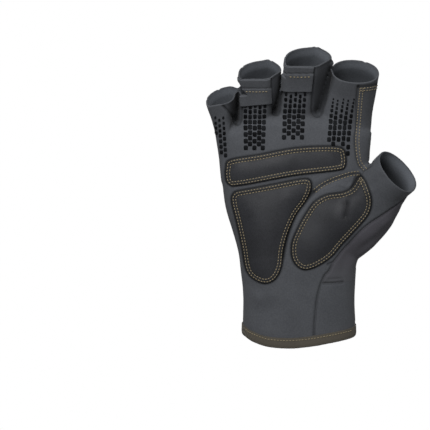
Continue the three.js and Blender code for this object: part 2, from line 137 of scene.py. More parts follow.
# How square a section is, in front and at the back: 2 is an ellipse
SQUARE = {"body": (2.35, 2.35), "index": (2.15, 2.15), "middle": (2.15, 2.15), "ring": (2.15, 2.15),
          "little": (2.15, 2.15), "thumb": (2.15, 2.15)}
# A stall with side walls is boxy: a flat front, a slanted wall on its right and a round back. Each pair
# holds shares of the reach to the right and to the front, from the right side over the front and round.
BOXY = [(1, 0.12), (0.69, 0.58), (0.32, 0.99), (-0.3, 1), (-0.86, 0.98), (-1, 0.72), (-1, 0.35),
        (-0.94, -0.12), (-0.67, -0.6), (-0.26, -0.9), (0.1, -1), (0.45, -1), (0.76, -0.72), (0.96, -0.34)]
LEAST = 0.5  # a section never shrinks to less than this
SECTION_POINTS = 96
BOXY_POINTS = 720
LOFT_STEPS = 8  # sections from one row of a table to the next
print("rows of the body:", len(BODY), "stalls:", len(FINGERS) + 1)

# %% [markdown]
# A pattern cutter draws a long edge with a flexible rule through a few marks. The same is done here: a
# table holds few points, and a smooth line runs through them. Catmull-Rom is used for drawn lines, because
# it goes through every point. The tables of sections get in-between rows whose slope takes their spacing
# into account, so that a stall doesn't swell between two rows that lie far apart.

# %% Smooth lines and rows
SPLINE_STEPS = 24


def spline(points, count, closed=False):
    """Evenly spaced points on a smooth line through the given ones."""
    points = np.array(points, float)
    if closed:
        around = np.vstack([points[-1:], points, points[:2]])
    else:
        around = np.vstack([2 * points[0] - points[1], points, 2 * points[-1] - points[-2]])
    dense = []
    for a, b, c, d in zip(around, around[1:], around[2:], around[3:]):
        for s in np.linspace(0, 1, SPLINE_STEPS, endpoint=False):
            dense.append(0.5 * (2 * b + (c - a) * s + (2 * a - 5 * b + 4 * c - d) * s**2
                                + (3 * b - a - 3 * c + d) * s**3))
    dense.append(dense[0] if closed else points[-1])
    dense = np.array(dense)
    run = np.concatenate([[0], np.cumsum(np.linalg.norm(np.diff(dense, axis=0), axis=1))])
    at = np.linspace(0, run[-1], count, endpoint=not closed)
    return np.stack([np.interp(at, run, dense[:, k]) for k in range(dense.shape[1])], axis=1)


def flowing(rows, steps):
    """Rows of numbers with smooth in-between rows, spaced by the distance between the rows' first three."""
    rows = np.array(rows, float)
    gap = np.linalg.norm(np.diff(rows[:, :3], axis=0), axis=1)[:, None]
    slope = np.diff(rows, axis=0) / gap
    inner = (slope[:-1] * gap[1:] + slope[1:] * gap[:-1]) / (gap[:-1] + gap[1:])
    tangent = np.vstack([slope[:1], inner, slope[-1:]])
    between = []
    for i in range(len(gap)):
        for s in np.linspace(0, 1, steps, endpoint=False):
            start = (1 + 2 * s) * (1 - s) ** 2 * rows[i] + s * (1 - s) ** 2 * gap[i] * tangent[i]
            end = s * s * (3 - 2 * s) * rows[i + 1] + s * s * (s - 1) * gap[i] * tangent[i + 1]
            between.append(start + end)
    return np.vstack(between + [rows[-1:]])


print("rows of the body with those between:", len(flowing(BODY, LOFT_STEPS)))

# %% [markdown]
# A finger in a stall is nearly round, a palm is a flat rounded square, and a stall with side walls is boxy.
# One function draws all three: a superellipse whose four sides reach differently far, mixed with the boxy
# form by a share. The body's sections are then cupped and arched as the palm of a hand is.

# %% Sections


def section(centre, across, front, reach, square, boxy=0.0):
    """A closed ring of points: a rounded square whose reach differs on its four sides."""
    angle = np.linspace(0, 2 * math.pi, SECTION_POINTS, endpoint=False)
    power = np.where(np.sin(angle) > 0, 2 / square[0], 2 / square[1])
    along = np.sign(np.cos(angle)) * np.abs(np.cos(angle)) ** power
    forward = np.sign(np.sin(angle)) * np.abs(np.sin(angle)) ** power
    if boxy:
        box = spline(BOXY, BOXY_POINTS, closed=True)
        turn = np.unwrap(np.arctan2(box[:, 1], box[:, 0]))
        where = np.arctan2(forward, along) % (2 * math.pi)
        along = (1 - boxy) * along + boxy * np.interp(where, turn, box[:, 0], period=2 * math.pi)
        forward = (1 - boxy) * forward + boxy * np.interp(where, turn, box[:, 1], period=2 * math.pi)
    left, right, ahead, behind = np.maximum(reach, LEAST)
    wide = np.where(along > 0, right, left) * along
    deep = np.where(forward > 0, ahead, behind) * forward
    return centre + wide[:, None] * across + deep[:, None] * front


def unit(v):
    return v / np.maximum(np.linalg.norm(v, axis=-1, keepdims=True), 1e-12)


def body_rings():
    rings = []
    for row in flowing(BODY, LOFT_STEPS):
        ring = section(row[:3], np.array([1.0, 0, 0]), np.array([0, -1.0, 0]), row[3:7], SQUARE["body"])
        ring[:, 1] -= row[7] * (ring[:, 0] / HALF_PALM) ** 2
        ring[:, 2] -= row[8] * ((ring[:, 0] - ARCH_MIDDLE) / HALF_PALM) ** 2
        rings.append(ring)
    return rings


def stall_rings(rows, across, square):
    rows = np.array(rows, float)
    last = rows[-1].copy()
    last[:3] += unit(rows[-1, :3] - rows[-2, :3]) * STALL_RUN
    rows = flowing(np.vstack([rows, last]), LOFT_STEPS)
    rings = []
    for i, row in enumerate(rows):
        along = unit(rows[min(i + 1, len(rows) - 1), :3] - rows[max(i - 1, 0), :3])
        wide = unit(across - along * np.dot(across, along))
        front = np.cross(wide, along)
        rings.append(section(row[:3], wide, front, row[3:7], square, np.clip(row[7], 0, 1)))
    return rings


print("sections of the body:", len(body_rings()), "of", SECTION_POINTS, "points")

# %% [markdown]
# A loft joins each ring of points to the next with four-sided faces, as a tube is skinned over its ribs.
# Bridge Edge Loops does the same by hand, but the rings here have as many points each, so the faces can be
# counted out. The two ends are closed, because the next steps need solid bodies.

# %% Loft the body and the stalls


def object_of(name, places, faces):
    """A new object from places in millimetres above the tables' zero."""
    mesh = bpy.data.meshes.new(name)
    mesh.from_pydata((np.asarray(places) - (0, 0, HEM_Z)) * MM, [], [tuple(map(int, f)) for f in faces])
    made = bpy.data.objects.new(name, mesh)
    bpy.context.scene.collection.objects.link(made)
    return made


def loft(name, rings):
    """A closed skin through rings that have as many points each."""
    count = len(rings[0])
    faces = []
    for layer in range(len(rings) - 1):
        for i in range(count):
            a, b = layer * count + i, layer * count + (i + 1) % count
            faces.append((a, b, b + count, a + count))
    top = (len(rings) - 1) * count
    faces.append(tuple(range(count))[::-1])
    faces.append(tuple(range(top, top + count)))
    return object_of(name, np.vstack(rings), faces)


lofts = {"body": loft("body_loft", body_rings())}
for finger, rows in FINGERS.items():
    lofts[finger] = loft(finger + "_loft", stall_rings(rows, np.array([1.0, 0, 0]), SQUARE[finger]))
lofts["thumb"] = loft("thumb_loft", stall_rings(THUMB, THUMB_ACROSS, SQUARE["thumb"]))
print("lofts:", len(lofts))

# %% [markdown]
# The stalls stand so close that they would touch. Two soft tubes that press on each other are flat where
# they meet, so a loft that reaches over the line between two fingers is cut along a slanted plane there.
# The planes slant, so no daylight shows between two stalls from the front. Bisect with its fill option does
# this.

# %% Flatten the stalls that touch
TOUCH_GAP = 0.8
# stall, the side of the plane that it keeps, a place on the plane and a way along it
TOUCHES = [("little", -1, (-38.7, -11, 163), (0.08, -0.45, 0.88)),
           ("ring", -1, (-12.6, -10, 165), (0.2, -0.45, 0.885)),
           ("middle", -1, (16.9, -10, 172), (0.2, -0.45, 0.885)),
           ("index", 1, (16.9, -10, 172), (0.2, -0.45, 0.885))]
TOUCH_SLANT = (0.17, 0.985, 0)  # the gap runs back and a little to the right


def flatten(loft_object, place, facing, keep):
    """Cuts a loft flat on one side of a plane. keep is -1 for the side to the left of it."""
    bpy.context.view_layer.objects.active = loft_object
    loft_object.select_set(True)
    bpy.ops.object.mode_set(mode="EDIT")
    bpy.ops.mesh.select_all(action="SELECT")
    at = Vector(place) + facing * keep * TOUCH_GAP
    at.z -= HEM_Z
    bpy.ops.mesh.bisect(plane_co=at * MM, plane_no=facing, use_fill=True, clear_inner=keep > 0,
                        clear_outer=keep < 0)
    bpy.ops.object.mode_set(mode="OBJECT")
    loft_object.select_set(False)


for stall, keep, place, way in TOUCHES:
    flatten(lofts[stall], place, Vector(TOUCH_SLANT).cross(Vector(way)).normalized(), keep)
print("flat sides:", len(TOUCHES))

# %% [markdown]
# The lofts overlap in the palm. A voxel remesh melts them into one skin of even little squares, which is
# what the later steps need: the skin is smoothed, gets its folds, and is then cut into its sewn panels.

# %% Melt the lofts into one skin
for part in lofts.values():
    part.select_set(True)
bpy.context.view_layer.objects.active = lofts["body"]
bpy.ops.object.join()
skin = bpy.context.active_object
skin.data.remesh_voxel_size = VOXEL * MM
skin.data.remesh_voxel_adaptivity = 0
bpy.ops.object.voxel_remesh()
bpy.ops.object.mode_set(mode="EDIT")
bpy.ops.mesh.select_all(action="SELECT")
bpy.ops.mesh.quads_convert_to_tris()
bpy.ops.object.mode_set(mode="OBJECT")


def read_mesh(made):
    mesh = made.data
    places = np.empty(len(mesh.vertices) * 3)
    mesh.vertices.foreach_get("co", places)
    corners = np.empty(len(mesh.polygons) * 3, dtype=np.int64)
    mesh.polygons.foreach_get("vertices", corners)
    return places.reshape(-1, 3) / MM + (0, 0, HEM_Z), corners.reshape(-1, 3)


places, tris = read_mesh(skin)
bpy.data.objects.remove(skin)
print("skin:", len(places), "points,", len(tris), "triangles")

# %% [markdown]
# Smoothing rounds off the steps of the voxels and fillets the roots of the fingers. It is the plain kind,
# in which each point moves halfway to the middle of its neighbours. The roots of the stalls get more rounds
# of it than the rest, as cloth spans them in a soft curve.

# %% Smooth the skin
ALL_ROUNDS = 10
ROOT_ROUNDS = 26
ROOTS = [((26, -14, 137), 17), ((0, -14, 139), 14), ((-26, -14, 137), 14), ((-45, -8, 131), 13),
         ((26, 14, 137), 17), ((0, 14, 139), 14), ((-26, 14, 137), 14), ((-45, 8, 131), 13),
         ((30, -16, 92), 22), ((38, -6, 114), 13), ((30, 12, 88), 20)]


def edges_of(tris):
    pairs = np.sort(np.concatenate([tris[:, [0, 1]], tris[:, [1, 2]], tris[:, [2, 0]]]), axis=1)
    return np.unique(pairs, axis=0)


def relax(places, edges, rounds, share):
    """Moves each point towards the middle of its neighbours. share is how far, for each point."""
    count = len(places)
    both = np.concatenate([edges, edges[:, ::-1]])
    degree = np.maximum(np.bincount(both[:, 0], minlength=count), 1)
    for _ in range(rounds):
        middle = np.stack([np.bincount(both[:, 0], places[both[:, 1], k], count) for k in range(3)], axis=1)
        places = places + share[:, None] * (middle / degree[:, None] - places)
    return places


def normals_of(places, tris):
    a, b, c = places[tris[:, 0]], places[tris[:, 1]], places[tris[:, 2]]
    facing = np.cross(b - a, c - a)
    total = np.zeros_like(places)
    for k in range(3):
        for axis in range(3):
            total[:, axis] += np.bincount(tris[:, k], facing[:, axis], len(places))
    return unit(total)


edges = edges_of(tris)
places = relax(places, edges, ALL_ROUNDS, np.full(len(places), 0.5))
nearness = np.zeros(len(places))
for centre, radius in ROOTS:
    away = np.linalg.norm(places - centre, axis=1) / radius
    nearness = np.maximum(nearness, np.clip(1 - away, 0, 1))
places = relax(places, edges, ROOT_ROUNDS, 0.5 * np.clip(2 * nearness, 0, 1))
print("smoothed: y from", places[:, 1].min().round(1), "to", places[:, 1].max().round(1))

# %% [markdown]
# Cloth on a hand is never even. Folds are drawn as lines on the front or the back view, each with a depth
# and a width, and the skin is pushed in or out along them. A slow random swell in the whole skin stands for
# the slack of the fabric. This takes the place of a cloth simulation, which would have no hand to rest on.

# %% Folds and slack
# side, points as x and z, depth (below zero is a ridge), half width
FOLDS = [
    ("palm", [(37.6, 115.4), (27.3, 113.5), (14.5, 108.3), (7.5, 103.1), (-2.1, 90.1), (-7.1, 77.1),
              (-10.3, 60)], 1.3, 2.2),
    ("palm", [(30, 99), (29.3, 92.5), (28.6, 86)], 1.3, 2.2),
    ("palm", [(26.1, 109.4), (28.7, 107.2), (31.8, 107.6), (33.4, 109.8)], -0.6, 1.3),
    ("palm", [(60, 84), (53, 76), (44, 69), (38, 64)], 1.2, 3.0),
    ("palm", [(66, 95), (58, 87), (50, 80)], -0.7, 3.2),
    ("palm", [(50, 73), (41, 62), (34, 54)], -0.8, 3.0),
    ("palm", [(33, 66), (29, 57), (28, 49)], 0.5, 3.2),
    ("palm", [(69, 103), (65, 100.5), (60, 98)], 0.9, 1.8),
    ("palm", [(-29, 33), (-21, 37), (-13, 40)], -0.7, 5.0),
    ("palm", [(-33, 25), (-22, 27), (-9, 31)], 0.6, 5.0),
    ("palm", [(-34, 45), (-28, 41), (-20, 40)], 0.5, 4.0),
    ("palm", [(-50, 128), (-43, 124), (-34, 130)], 0.4, 5.0),
    ("palm", [(29, 47.4), (24, 47.4), (17, 47.2)], 0.6, 1.0),
    ("palm", [(40.5, 107), (47, 111), (51, 118)], 0.7, 3.0),
    ("back", [(60, 96), (52, 88), (44, 80), (38, 74)], 1.0, 2.6),
    ("back", [(66, 92), (57, 83), (48, 74)], -0.8, 3.0),
    ("back", [(56, 76), (49, 70), (42, 66)], 0.9, 2.4),
    ("back", [(50, 100), (46, 90), (43, 80)], -0.6, 2.6),
    ("back", [(-30, 100), (-10, 108), (12, 104)], 0.5, 7.0),
    ("back", [(-36, 60), (-16, 64), (2, 72)], 0.4, 6.0),
    ("back", [(-14, 146), (-14.2, 138), (-15, 128)], 1.2, 3.4),
    ("back", [(12.4, 147), (13, 138), (13, 126)], 1.2, 3.4),
    ("back", [(-39, 138), (-39.5, 130), (-39, 121)], 0.9, 3.0),
]
SLACK = 0.55
SLACK_LENGTH = 21  # of one swell
FOLD_POINTS = 24


def line_distance(points, line):
    """Distance of flat points to a line, and how far along the line the nearest place is, from 0 to 1."""
    best = np.full(len(points), np.inf)
    along = np.zeros(len(points))
    for i in range(len(line) - 1):
        way = line[i + 1] - line[i]
        share = np.clip(((points - line[i]) @ way) / max(way @ way, 1e-12), 0, 1)
        away = np.linalg.norm(points - line[i] - share[:, None] * way, axis=1)
        nearer = away < best
        best[nearer] = away[nearer]
        along[nearer] = (i + share[nearer]) / (len(line) - 1)
    return best, along


normals = normals_of(places, tris)
push = np.zeros(len(places))
for side, points, depth, width in FOLDS:
    facing = np.clip((-normals[:, 1] if side == "palm" else normals[:, 1]) * 3 + 0.6, 0, 1)
    facing *= (places[:, 1] < 2) if side == "palm" else (places[:, 1] > -6)
    away, along = line_distance(places[:, [0, 2]], spline(points, FOLD_POINTS))
    ends = np.clip(4 * np.minimum(along, 1 - along) + 0.15, 0, 1)
    push -= depth * facing * ends * np.exp(-((away / width) ** 2))
for i, p in enumerate(places):
    push[i] += SLACK * noise.noise(Vector(p) / SLACK_LENGTH)
places = places + normals * push[:, None]
normals = normals_of(places, tris)
print("folds:", len(FOLDS), "deepest push", push.min().round(2), "mm")

# %% [markdown]
# The seams are lines on the front and the back view. Between the two depths below, a seam runs straight
# from its line on the palm to its line on the back, so a region is a prism whose outline changes with
# depth. For each point of the skin, the distance to the outline says how deep inside the region it lies.
# These distances are the fields by which the skin is cut.

# %% Seams of the shell
FAR = 90  # well outside the glove
PALM_DEPTH = -19
BACK_DEPTH = 10
SEAM_POINTS = 44
LINE_POINTS = 60
HEM = [(-60, 10), (-36, 9.4), (-30, 7.4), (-20, 4.9), (-8, 4.2), (0, 4.5), (10, 5.6), (21, 7.2), (36, 8.7),
       (60, 10)]
SIDE_SPLIT = [(0, -20), (0, 20), (-1, 54), (-4, 102), (-6, 139), (-15, 167), (-21, 199)]  # as y and z
# line on the palm, line on the back, then the points that close the region outside the glove
SEAMS = {
    "thumb_stall": (
        [(45, 121), (38, 113), (41, 104), (41.4, 96), (38.5, 88), (31, 79), (23.5, 70.5), (18.5, 62),
         (19.6, 56), (27.9, 65.3), (40.6, 80.5), (53.4, 90.1), (68.7, 101.8), (76, 107)],
        [(45.5, 121), (47, 118), (50, 114), (53.5, 110.6), (58, 107), (62, 105.4), (66, 104.6), (70, 104.6),
         (74, 105), (78, 105.6)],
        [(FAR, 107), (FAR, 140), (50.5, 140), (47.5, 128)]),
    "index_side_panel": (
        [(35.4, 200), (35.4, 171.5), (35.1, 147.8), (34.3, 134.9), (36.1, 121.9), (40.1, 116.1), (46, 112)],
        [(53, 200), (51.5, 171), (45.5, 160), (42.6, 148), (42.6, 134), (44, 124), (50, 112)],
        [(FAR, 112), (FAR, 200)]),
    "thumb_gusset": (
        [(34, 112), (28, 84), (20.6, 56), (17, 50.5), (14.4, 45.2)],
        [(52, 118), (44.4, 98), (41.2, 86), (37.8, 70), (33, 45.2)],
        [(FAR, 45), (FAR, 118)]),
    "cuff_side_panel": (
        [(14.4, 45.2), (12, 36), (10.8, 24), (10.2, 12), (10.4, -20)],
        [(30, 45.2), (30, 34), (30, 23), (30, 12), (30, -20)],
        [(FAR, -20), (FAR, 45)]),
}
# x at the foot and at the top of each edge, on the palm and on the back, and the height of the foot
FOURCHETTES = {
    "fourchette_index_middle": (155.6, (7.6, 7.8), (14.8, 23.6), (8.4, 18.6), (14.8, 26)),
    "fourchette_middle_ring": (156.6, (-16.8, -20.6), (-12.6, -10.6), (-17, -13.6), (-11, -7.2)),
    "fourchette_ring_little": (150.5, (-41.6, -84), (-36.6, -36.2), (-42.4, -42), (-36.6, -34.8)),
}
FOURCHETTE_TOP = 200
FOURCHETTE_DIP = 5  # of the round foot
FOOT_POINTS = 12
BACK_SEAM = [(-60, 65.5), (-42.4, 71.7), (-10, 81), (8, 86.5), (19.6, 89.7), (60, 90.5)]
RIBS = [(19.6, 89.1), (60, 89.1), (60, 58.5), (24.4, 58.5)]
SLIT = [(33.4, -20), (33.4, 50.5), (32.4, 54.9), (28.4, 55.9), (26.6, 52.9), (26.2, 42.5), (25.4, 28.5),
        (23, 12.5), (20, -20)]
SLIT_DEPTH = 2
TIP_REACH = 22.0  # the open end of a stall is looked for this near to the middle of it
# of the cut across a stall: how it leans to the right and ahead, and how far it is moved up
END_CUT = {"index": (0.05, -0.7, 0.7), "middle": (0.02, -0.61, 1.4), "ring": (-0.02, -0.65, 0.5)}
END_LEAN = {"little": -0.27}  # this cut leans to the left, and else stands square to its stall
END_PEAK = {"middle": 10.2, "ring": -19.4}  # x of the small peak that the back seam makes
PEAK_HEIGHT = 0.8
PEAK_WIDTH = 3.0
print("seams:", len(SEAMS), "side walls:", len(FOURCHETTES))

# %% [markdown]
# A field is one number for each point of the skin: how many millimetres inside an outline it lies, or below
# zero how far outside. Fields are cheap to combine, and the zero of a field is a smooth line however coarse
# the mesh is. A boolean with a drawn solid would do the same job, but leaves slivers on a thin skin.

# %% Fields


def region_field(places, front, back=None):
    """How far inside an outline each point lies, in millimetres. Outside it, the field is below zero."""
    front = np.asarray(front, float)
    points = places[:, [0, 2]]
    if back is None:
        corners = np.broadcast_to(front, (len(places),) + front.shape)
    else:
        share = np.clip((places[:, 1] - PALM_DEPTH) / (BACK_DEPTH - PALM_DEPTH), 0, 1)[:, None, None]
        corners = front * (1 - share) + np.asarray(back, float) * share
    best = np.full(len(places), np.inf)
    inside = np.zeros(len(places), bool)
    for i in range(front.shape[0]):
        a, b = corners[:, i - 1], corners[:, i]
        way = b - a
        share = np.clip(((points - a) * way).sum(1) / np.maximum((way * way).sum(1), 1e-12), 0, 1)
        best = np.minimum(best, np.linalg.norm(points - a - share[:, None] * way, axis=1))
        over = (a[:, 1] > points[:, 1]) != (b[:, 1] > points[:, 1])
        rise = np.where(np.abs(way[:, 1]) < 1e-9, 1e-9, way[:, 1])
        at = a[:, 0] + (points[:, 1] - a[:, 1]) / rise * way[:, 0]
        inside ^= over & (points[:, 0] < at)
    return np.where(inside, best, -best)


def fourchette_outline(foot_z, left, right):
    middle, half = (left[0] + right[0]) / 2, (right[0] - left[0]) / 2
    angle = np.linspace(math.pi, 2 * math.pi, FOOT_POINTS)
    foot = np.stack([middle + half * np.cos(angle), foot_z + FOURCHETTE_DIP * np.sin(angle)], axis=1)
    return np.vstack([foot, [(right[1], FOURCHETTE_TOP), (left[1], FOURCHETTE_TOP)]])


def height_field(places, line):
    """How far above a line of the front view each point lies."""
    line = spline(line, LINE_POINTS)
    return places[:, 2] - np.interp(places[:, 0], line[:, 0], line[:, 1])


def stall_end_field(places):
    """How far below the open end of its stall each point lies, cut flat across the stall's axis."""
    nearest = np.full(len(places), TIP_REACH)
    field = np.full(len(places), TIP_REACH)
    for name, rows in list(FINGERS.items()) + [("thumb", THUMB)]:
        before, tip = np.array(rows[-2][:3], float), np.array(rows[-1][:3], float)
        along = unit(tip - before)
        along[0] = END_LEAN.get(name, along[0])
        if name in END_CUT:
            *lean, rise = END_CUT[name]
            along = np.array([*lean, 1])
            tip = tip + (0, 0, rise)
        away = np.linalg.norm(places - tip, axis=1)
        near = away < nearest
        nearest[near] = away[near]
        field[near] = -(places[near] - tip) @ unit(along)
        if name in END_PEAK:
            peak = PEAK_HEIGHT * np.exp(-(((places[near, 0] - END_PEAK[name]) / PEAK_WIDTH) ** 2))
            field[near] += peak * (places[near, 1] > tip[1])
    return field


fields = {}
for name, (front, back, outside) in SEAMS.items():
    on_palm = np.vstack([spline(front, SEAM_POINTS), outside])
    on_back = np.vstack([spline(back, SEAM_POINTS), outside])
    fields[name] = region_field(places, on_palm, on_back)
for name, (foot, *edge) in FOURCHETTES.items():
    fields[name] = region_field(places, fourchette_outline(foot, edge[0], edge[1]),
                                fourchette_outline(foot, edge[2], edge[3]))
split = spline(SIDE_SPLIT, LINE_POINTS)
fields["palm_half"] = np.interp(places[:, 2], split[:, 1], split[:, 0]) - places[:, 1]
fields["above_back_seam"] = height_field(places, BACK_SEAM)
fields["ribs"] = region_field(places, RIBS)
fields["above_hem"] = height_field(places, HEM)
fields["off_slit"] = np.maximum(-region_field(places, SLIT), SLIT_DEPTH - places[:, 1])
fields["below_end"] = stall_end_field(places)
FIELD = {name: 3 + i for i, name in enumerate(fields)}  # its column in the data of each point
data = np.column_stack([normals] + list(fields.values()))
print("fields:", ", ".join(FIELD))

# %% [markdown]
# Cutting goes triangle by triangle. Where an edge of the skin crosses the zero of a field, it gets a new
# point there, so a panel's edge is a clean line and both neighbours share its points. Everything known
# about a point, its normal and its other fields, is carried over to the new points.

# %% Cut the skin into its panels
SHY = 0.09  # points closer to a cut than this are treated as this far from it
CRUMB = 0.08  # a part with a smaller share of the triangles is a crumb


def cut(cloth, field):
    """The part of a cloth where a field is above zero, and the places where it was cut."""
    places, tris, data = cloth
    field = np.where(np.abs(field) < SHY, np.where(field > 0, SHY, -SHY), field)
    inside = field > 0
    edges = edges_of(tris)
    crossed = edges[inside[edges[:, 0]] != inside[edges[:, 1]]]
    share = (field[crossed[:, 0]] / (field[crossed[:, 0]] - field[crossed[:, 1]]))[:, None]
    new_places = places[crossed[:, 0]] * (1 - share) + places[crossed[:, 1]] * share
    new_data = data[crossed[:, 0]] * (1 - share) + data[crossed[:, 1]] * share
    key = crossed[:, 0] * len(places) + crossed[:, 1]

    def between(a, b):
        low, high = np.minimum(a, b), np.maximum(a, b)
        return len(places) + np.searchsorted(key, low * len(places) + high)

    count = inside[tris].sum(1)
    kept = [tris[count == 3]]
    for wanted, odd in ((1, True), (2, False)):
        some = tris[count == wanted]
        turn = np.argmax(inside[some] == odd, axis=1)
        rows = np.arange(len(some))
        a, b, c = (some[rows, (turn + k) % 3] for k in range(3))
        ab, ca = between(a, b), between(c, a)
        if odd:
            kept.append(np.column_stack([a, ab, ca]))
        else:
            kept += [np.column_stack([ab, b, c]), np.column_stack([ab, c, ca])]
    all_places, all_data = np.vstack([places, new_places]), np.vstack([data, new_data])
    kept = np.vstack(kept)
    used = np.unique(kept)
    number = np.full(len(all_places), -1)
    number[used] = np.arange(len(used))
    return (all_places[used], number[kept], all_data[used]), new_places


def field_of(cloth, name):
    return cloth[2][:, FIELD[name]]


def without_crumbs(cloth):
    """The connected parts of a cloth that hold a fair share of its triangles."""
    places, tris, data = cloth
    label = np.arange(len(places))
    edges = edges_of(tris)
    while True:
        low = np.minimum(label[edges[:, 0]], label[edges[:, 1]])
        before = label.copy()
        np.minimum.at(label, edges[:, 0], low)
        np.minimum.at(label, edges[:, 1], low)
        label = label[label]
        if np.array_equal(before, label):
            break
    groups, sizes = np.unique(label[tris[:, 0]], return_counts=True)
    kept = tris[np.isin(label[tris[:, 0]], groups[sizes > CRUMB * len(tris)])]
    used = np.unique(kept)
    number = np.full(len(places), -1)
    number[used] = np.arange(len(used))
    return places[used], number[kept], data[used]


whole = (places, tris, data)
shell = whole
for name in ("below_end", "above_hem", "off_slit"):
    shell, _ = cut(shell, field_of(shell, name))
panels = {}
seam_points = []
for name in list(SEAMS) + list(FOURCHETTES):
    panels[name], crossing = cut(shell, field_of(shell, name))
    shell, _ = cut(shell, -field_of(shell, name))
    seam_points.append(crossing)
panels["palm_panel"], crossing = cut(shell, field_of(shell, "palm_half"))
seam_points.append(crossing)
back, _ = cut(shell, -field_of(shell, "palm_half"))
panels["back_panel"], crossing = cut(back, field_of(back, "above_back_seam"))
seam_points.append(crossing)
cuff, _ = cut(back, -field_of(back, "above_back_seam"))
panels["rib_insert"], crossing = cut(cuff, field_of(cuff, "ribs"))
seam_points.append(crossing)
panels["cuff_back_panel"], _ = cut(cuff, -field_of(cuff, "ribs"))
panels = {name: without_crumbs(cloth) for name, cloth in panels.items()}
for name, cloth in panels.items():
    print(name, len(cloth[1]), "triangles")

# %% [markdown]
# A sewn seam pulls the fabric down into a narrow groove. The groove is made by moving every point near a
# seam inwards, as far as its distance to the nearest seam asks. Panels and skin are moved in the same way,
# so the edges of two neighbours still meet.

# %% Pull the seams in
GROOVE = 0.9
GROOVE_WIDTH = 0.85
NEAR_SEAM = 6.0
RIM_FADE = 4  # the groove runs out this far before an open end

seam_points = np.vstack(seam_points)
x, y, z = seam_points.T
# three places where the fabric only changes, with no groove
below_gusset = (np.abs(z - 45.2) < 1) & (x > 28.7)
end_of_index = (np.abs(x - 36) < 6) & (z > 170.8) & (y < -15)
root_of_thumb = (np.abs(x - 19) < 2.5) & (np.abs(z - 62) < 5) & (y < 0) & (z > x + 38.5)
seam_points = seam_points[~(below_gusset | end_of_index | root_of_thumb)]
seam_tree = KDTree(len(seam_points))
for i, p in enumerate(seam_points):
    seam_tree.insert(p, i)
seam_tree.balance()


def seam_distance(places):
    return np.array([min(seam_tree.find(p)[2], NEAR_SEAM) for p in places])


def pulled_in(cloth):
    places, tris, data = cloth
    away = seam_distance(places)
    fade = 0.25 + 0.75 * np.clip(data[:, FIELD["below_end"]] / RIM_FADE, 0, 1)
    depth = GROOVE * fade * np.exp(-((away / GROOVE_WIDTH) ** 2))
    return places - unit(data[:, :3]) * depth[:, None], tris, data


skin_cloth = pulled_in(whole)
plain_panels = panels
panels = {name: pulled_in(cloth) for name, cloth in panels.items()}
skin_tree = BVHTree.FromPolygons(skin_cloth[0].tolist(), skin_cloth[1].tolist())
print("seam points:", len(seam_points))

# %% [markdown]
# Each panel is so far a skin without thickness. It gets an inner skin WALL below the outer one, and a rim
# that joins them. At an open end, where the fabric is turned in and stitched, the rim is rounded; at a seam
# it is flat, because it meets its neighbour there.

# %% Give the panels their thickness
RIM_STEPS = 4
AT_EDGE = 0.2  # a point nearer than this to the edge is on it


def thick(outer, inner, tris, bulge):
    """Outer skin, inner skin and rim as one closed mesh, and a mark for each face: 0, 1 or 2."""
    normals = normals_of(outer, tris)
    count = len(outer)
    directed = np.concatenate([tris[:, [0, 1]], tris[:, [1, 2]], tris[:, [2, 0]]])
    keys = directed[:, 0] * count + directed[:, 1]
    rim = directed[~np.isin(directed[:, 1] * count + directed[:, 0], keys)]
    out = np.zeros_like(outer)
    side = np.cross(outer[rim[:, 1]] - outer[rim[:, 0]], normals[rim[:, 0]])
    for k in range(2):
        for axis in range(3):
            out[:, axis] += np.bincount(rim[:, k], side[:, axis], count)
    ends = np.unique(rim)
    number = np.full(count, -1)
    number[ends] = np.arange(len(ends))
    middle, half = (outer[ends] + inner[ends]) / 2, (outer[ends] - inner[ends]) / 2
    reach = unit(out)[ends] * (bulge[ends] * np.linalg.norm(half, axis=1))[:, None]
    layers = [outer, inner]
    rows = [rim]
    for k in range(1, RIM_STEPS):
        angle = math.pi * k / RIM_STEPS
        layers.append(middle + math.cos(angle) * half + math.sin(angle) * reach)
        rows.append(2 * count + (k - 1) * len(ends) + number[rim])
    rows.append(rim + count)
    quads = []
    for low, high in zip(rows, rows[1:]):
        quads.append(np.column_stack([low[:, 1], low[:, 0], high[:, 0], high[:, 1]]))
    faces = tris.tolist() + (tris[:, ::-1] + count).tolist() + np.vstack(quads).tolist()
    marks = np.repeat([0, 1, 2], [len(tris), len(tris), len(quads) * len(rim)])
    return np.vstack(layers), faces, marks


def finish_piece(name, places, faces, node=None, materials=(), marks=None, smooth_angle=40,
                 shade=None):
    """The object of a piece, with its materials and a shade value for each point, which is painted shade on
    cloth and wear on a grip block, tied to the frame.
    """
    made = object_of(name, places, faces)
    shades = np.ones(len(places))
    if shade is not None:
        shades[:len(shade)] = shade
    made.data.attributes.new("shade", "FLOAT", "POINT").data.foreach_set("value", shades)
    for material in materials:
        made.data.materials.append(material)
    if marks is not None and len(materials) > 1:
        made.data.polygons.foreach_set("material_index", marks)
    bpy.ops.object.select_all(action="DESELECT")
    made.select_set(True)
    bpy.context.view_layer.objects.active = made
    bpy.ops.object.shade_smooth_by_angle(angle=math.radians(smooth_angle))
    made.select_set(False)
    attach(made, "root")
    if node:
        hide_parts(node)
    return made


def free_edge(data):
    """One at an open end or at the hem, and zero at a seam."""
    open_end = np.minimum(data[:, FIELD["below_end"]], data[:, FIELD["above_hem"]])
    return (np.abs(open_end) < AT_EDGE).astype(float)


def rim_bulge(cloth):
    """A rim is round, but not where it meets the end of a seam."""
    return free_edge(cloth[2]) * np.clip(seam_distance(cloth[0]) - AT_EDGE, 0, 1)


print("panels that get a thickness:", len(panels))

# %% [markdown]
# Every material starts from what the real one is. Colours are given as the sRGB values that a picture
# shows, and one function turns them into the linear values that the shader wants. One more function adds a
# node with its settings and links.

# %% Helpers for the materials


